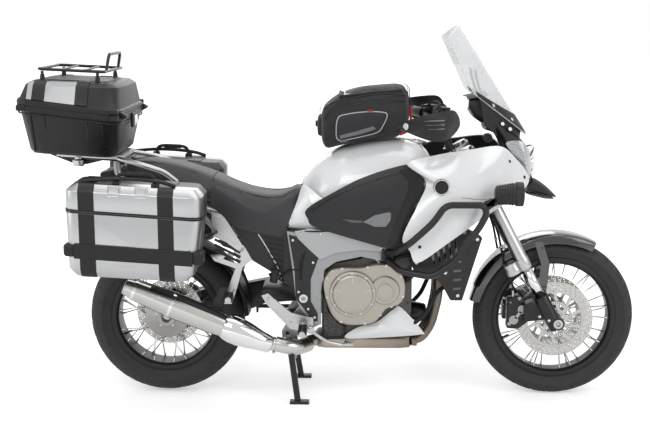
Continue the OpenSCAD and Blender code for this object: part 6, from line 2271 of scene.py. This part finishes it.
CAMERA_SPOT = (740.0, -4507.0, 1567.0)
CAMERA_YAW, CAMERA_PITCH, CAMERA_LENS = 1.1, 10.2, 61.9


def build_stage(floor_tone):
    scene = bpy.context.scene
    cam_data = bpy.data.cameras.new("Camera")
    cam_data.lens, cam_data.sensor_width = CAMERA_LENS, 36.0
    cam_data.clip_end = 100.0
    cam = bpy.data.objects.new("Camera", cam_data)
    scene.collection.objects.link(cam)
    cam.location = at(CAMERA_SPOT)
    cam.rotation_euler = (math.radians(90 - CAMERA_PITCH), 0, math.radians(CAMERA_YAW))
    scene.camera = cam

    mesh = bpy.data.meshes.new("floor")
    size = 30.0
    mesh.from_pydata([(-size, -size, 0), (size, -size, 0), (size, size, 0), (-size, size, 0)], [],
                     [(0, 1, 2, 3)])
    floor = bpy.data.objects.new("floor", mesh)
    scene.collection.objects.link(floor)
    f = Finish("studio_floor")
    rays = f.tree.nodes.new("ShaderNodeLightPath")
    seen = (Value(f.tree, rays.outputs["Is Camera Ray"]) + Value(f.tree, rays.outputs["Is Glossy Ray"])
            + Value(f.tree, rays.outputs["Is Transmission Ray"])).clamped()
    f.feed(Base_Color=f.mix(f.noise(0.6, 2.0) * 0.2, colour(floor_tone), colour(floor_tone * 0.97)),
           Roughness=f.noise(4.0) * 0.1 + 0.8)
    x, y, _ = f.axes()
    far = (((x * x + y * y) ** 0.5 - 1.7) * 0.6).clamped()
    f.feed(Emission_Color=f.mix(seen, colour(0.0), f.mix(far, colour(0.46), colour(0.97))))
    f.shader.inputs["Emission Strength"].default_value = 1.0
    floor.data.materials.append(f.material)

    world = bpy.data.worlds.new("studio")
    scene.world = world
    world.use_nodes = True
    tree = world.node_tree
    light = tree.nodes["Background"]
    light.inputs["Color"].default_value = colour(1.0)
    light.inputs["Strength"].default_value = 0.34
    backdrop = tree.nodes.new("ShaderNodeBackground")
    backdrop.inputs["Color"].default_value = colour(1.0)
    backdrop.inputs["Strength"].default_value = 1.0
    rays = tree.nodes.new("ShaderNodeLightPath")
    shown = (Value(tree, rays.outputs["Is Camera Ray"]) + Value(tree, rays.outputs["Is Glossy Ray"])
             + Value(tree, rays.outputs["Is Transmission Ray"])).clamped()
    mix = tree.nodes.new("ShaderNodeMixShader")
    tree.links.new(shown.socket, mix.inputs[0])
    tree.links.new(light.outputs[0], mix.inputs[1])
    tree.links.new(backdrop.outputs[0], mix.inputs[2])
    tree.links.new(mix.outputs[0], tree.nodes["World Output"].inputs[0])

    for name, spot, aim, size, power in (
            ("key", (-600, -3600, 3600), (700, 0, 600), (3.0, 2.0), 72),
            ("front", (3600, -2200, 2400), (900, 0, 600), (2.0, 2.4), 40),
            ("above", (700, 200, 3800), (700, 0, 500), (3.6, 2.0), 40),
            ("back", (600, 3600, 2600), (700, 0, 700), (3.4, 2.0), 36),
            ("rear", (-3200, -1400, 1800), (0, 0, 700), (1.6, 2.0), 22)):
        data = bpy.data.lights.new(name, "AREA")
        data.shape, data.size, data.size_y, data.energy = "RECTANGLE", size[0], size[1], power
        lamp = bpy.data.objects.new(name, data)
        scene.collection.objects.link(lamp)
        lamp.location = at(spot)
        lamp.rotation_euler = (at(aim) - at(spot)).to_track_quat("-Z", "Y").to_euler()
    scene.view_settings.view_transform = "Standard"


# ---------- settings, operators, panel ----------


class MotorcycleSettings(bpy.types.PropertyGroup):
    """Colours and sizes that a user would change."""
    bodywork: bpy.props.FloatVectorProperty(
        name="Bodywork", description="Colour of the tank and the fairing", subtype="COLOR", size=3, min=0,
                                            max=1,
        default=WHITE[:3])
    case_metal: bpy.props.FloatVectorProperty(
        name="Case metal", description="Colour of the side cases' sheet", subtype="COLOR", size=3, min=0,
                                              max=1,
        default=(0.42, 0.425, 0.43))
    floor_tone: bpy.props.FloatProperty(
        name="Floor", description="Lightness of the floor and the backdrop", subtype="FACTOR", min=0.2, max=1,
        default=0.90)


def settings():
    return bpy.context.scene.motorcycle_settings


class StageOperator(bpy.types.Operator):
    """Adds the camera, the lights and a pale floor"""
    bl_idname = "motorcycle.stage"
    bl_label = "Stage"

    def execute(self, context):
        build_stage(settings().floor_tone)
        return {"FINISHED"}


class FinishesOperator(bpy.types.Operator):
    """Makes the finishes and gives each frame part its own"""
    bl_idname = "motorcycle.finishes"
    bl_label = "Finishes"

    def execute(self, context):
        make_finishes(tuple(settings().bodywork) + (1.0,), tuple(settings().case_metal) + (1.0,))
        dress_nodes()
        return {"FINISHED"}


def piece_operator(key, label, text, build):
    """An operator that runs one builder of pieces."""
    def execute(self, context):
        build()
        return {"FINISHED"}
    return type(label.replace(" ", "") + "Operator", (bpy.types.Operator,),
                {"__doc__": text, "bl_idname": "motorcycle." + key, "bl_label": label, "execute": execute})


PIECES = [
    piece_operator("wheels", "Wheels", "Adds treads, spoke ends, discs and hubs", build_wheels),
    piece_operator("fork", "Fork", "Adds fork fittings, calipers, hoses and the front fender", build_fork),
    piece_operator("bar", "Handlebar", "Adds the bar, grips, levers, guards and cables", build_bar),
    piece_operator("tank", "Tank", "Adds the tank's skin, cap and frame plates", build_tank),
    piece_operator("cowls", "Cowls", "Adds the side cowls and the tank's panels", build_cowls),
    piece_operator("nose", "Nose", "Adds the nose, headlight, beak, dash and screen", build_nose),
    piece_operator("tubes", "Tubes", "Adds crash bars, racks, rails and headers", build_tubes),
    piece_operator("exhaust", "Exhaust", "Adds the silencer", build_exhaust),
    piece_operator("engine", "Engine", "Adds covers, bolts and hoses round the engine", build_engine),
    piece_operator("radiator", "Radiator", "Adds fins, slots and fog lamps", build_radiator),
    piece_operator("side", "Side parts", "Adds louvres, footrests and pedals", build_side),
    piece_operator("swingarm", "Swingarm", "Adds the final drive and the spring", build_swingarm),
    piece_operator("tail", "Tail", "Adds the tail light, indicators and carrier", build_tail),
    piece_operator("stands", "Stands", "Adds feet, springs and pivots of the stands", build_stands),
    piece_operator("seat", "Seat", "Adds the stuffed seat and its seams", build_seat),
    piece_operator("tank_bag", "Tank bag", "Adds the soft bag on the tank", build_tank_bag),
    piece_operator("side_cases", "Side cases", "Adds bands, latches and handles of the side cases",
                   build_side_cases),
    piece_operator("top_case", "Top case", "Adds bands, ribs and the rack of the top case", build_top_case),
]


class MotorcyclePanel(bpy.types.Panel):
    """Lists the settings and the builders"""
    bl_idname = "VIEW3D_PT_motorcycle"
    bl_label = "Touring Motorcycle"
    bl_space_type = "VIEW_3D"
    bl_region_type = "UI"
    bl_category = "Motorcycle"

    def draw(self, context):
        layout = self.layout
        for key in ("bodywork", "case_metal", "floor_tone"):
            layout.prop(settings(), key)
        for operator in [StageOperator, FinishesOperator] + PIECES:
            layout.operator(operator.bl_idname)


CLASSES = [MotorcycleSettings, StageOperator, FinishesOperator] + PIECES + [MotorcyclePanel]


def register():
    for cls in CLASSES:
        bpy.utils.register_class(cls)
    bpy.types.Scene.motorcycle_settings = bpy.props.PointerProperty(type=MotorcycleSettings)


def unregister():
    del bpy.types.Scene.motorcycle_settings
    for cls in reversed(CLASSES):
        bpy.utils.unregister_class(cls)


def main():
    register()
    for operator in [StageOperator, FinishesOperator] + PIECES:
        getattr(bpy.ops.motorcycle, operator.bl_idname.split(".")[1])()
    bpy.context.view_layer.update()


if __name__ == "__main__":
    main()
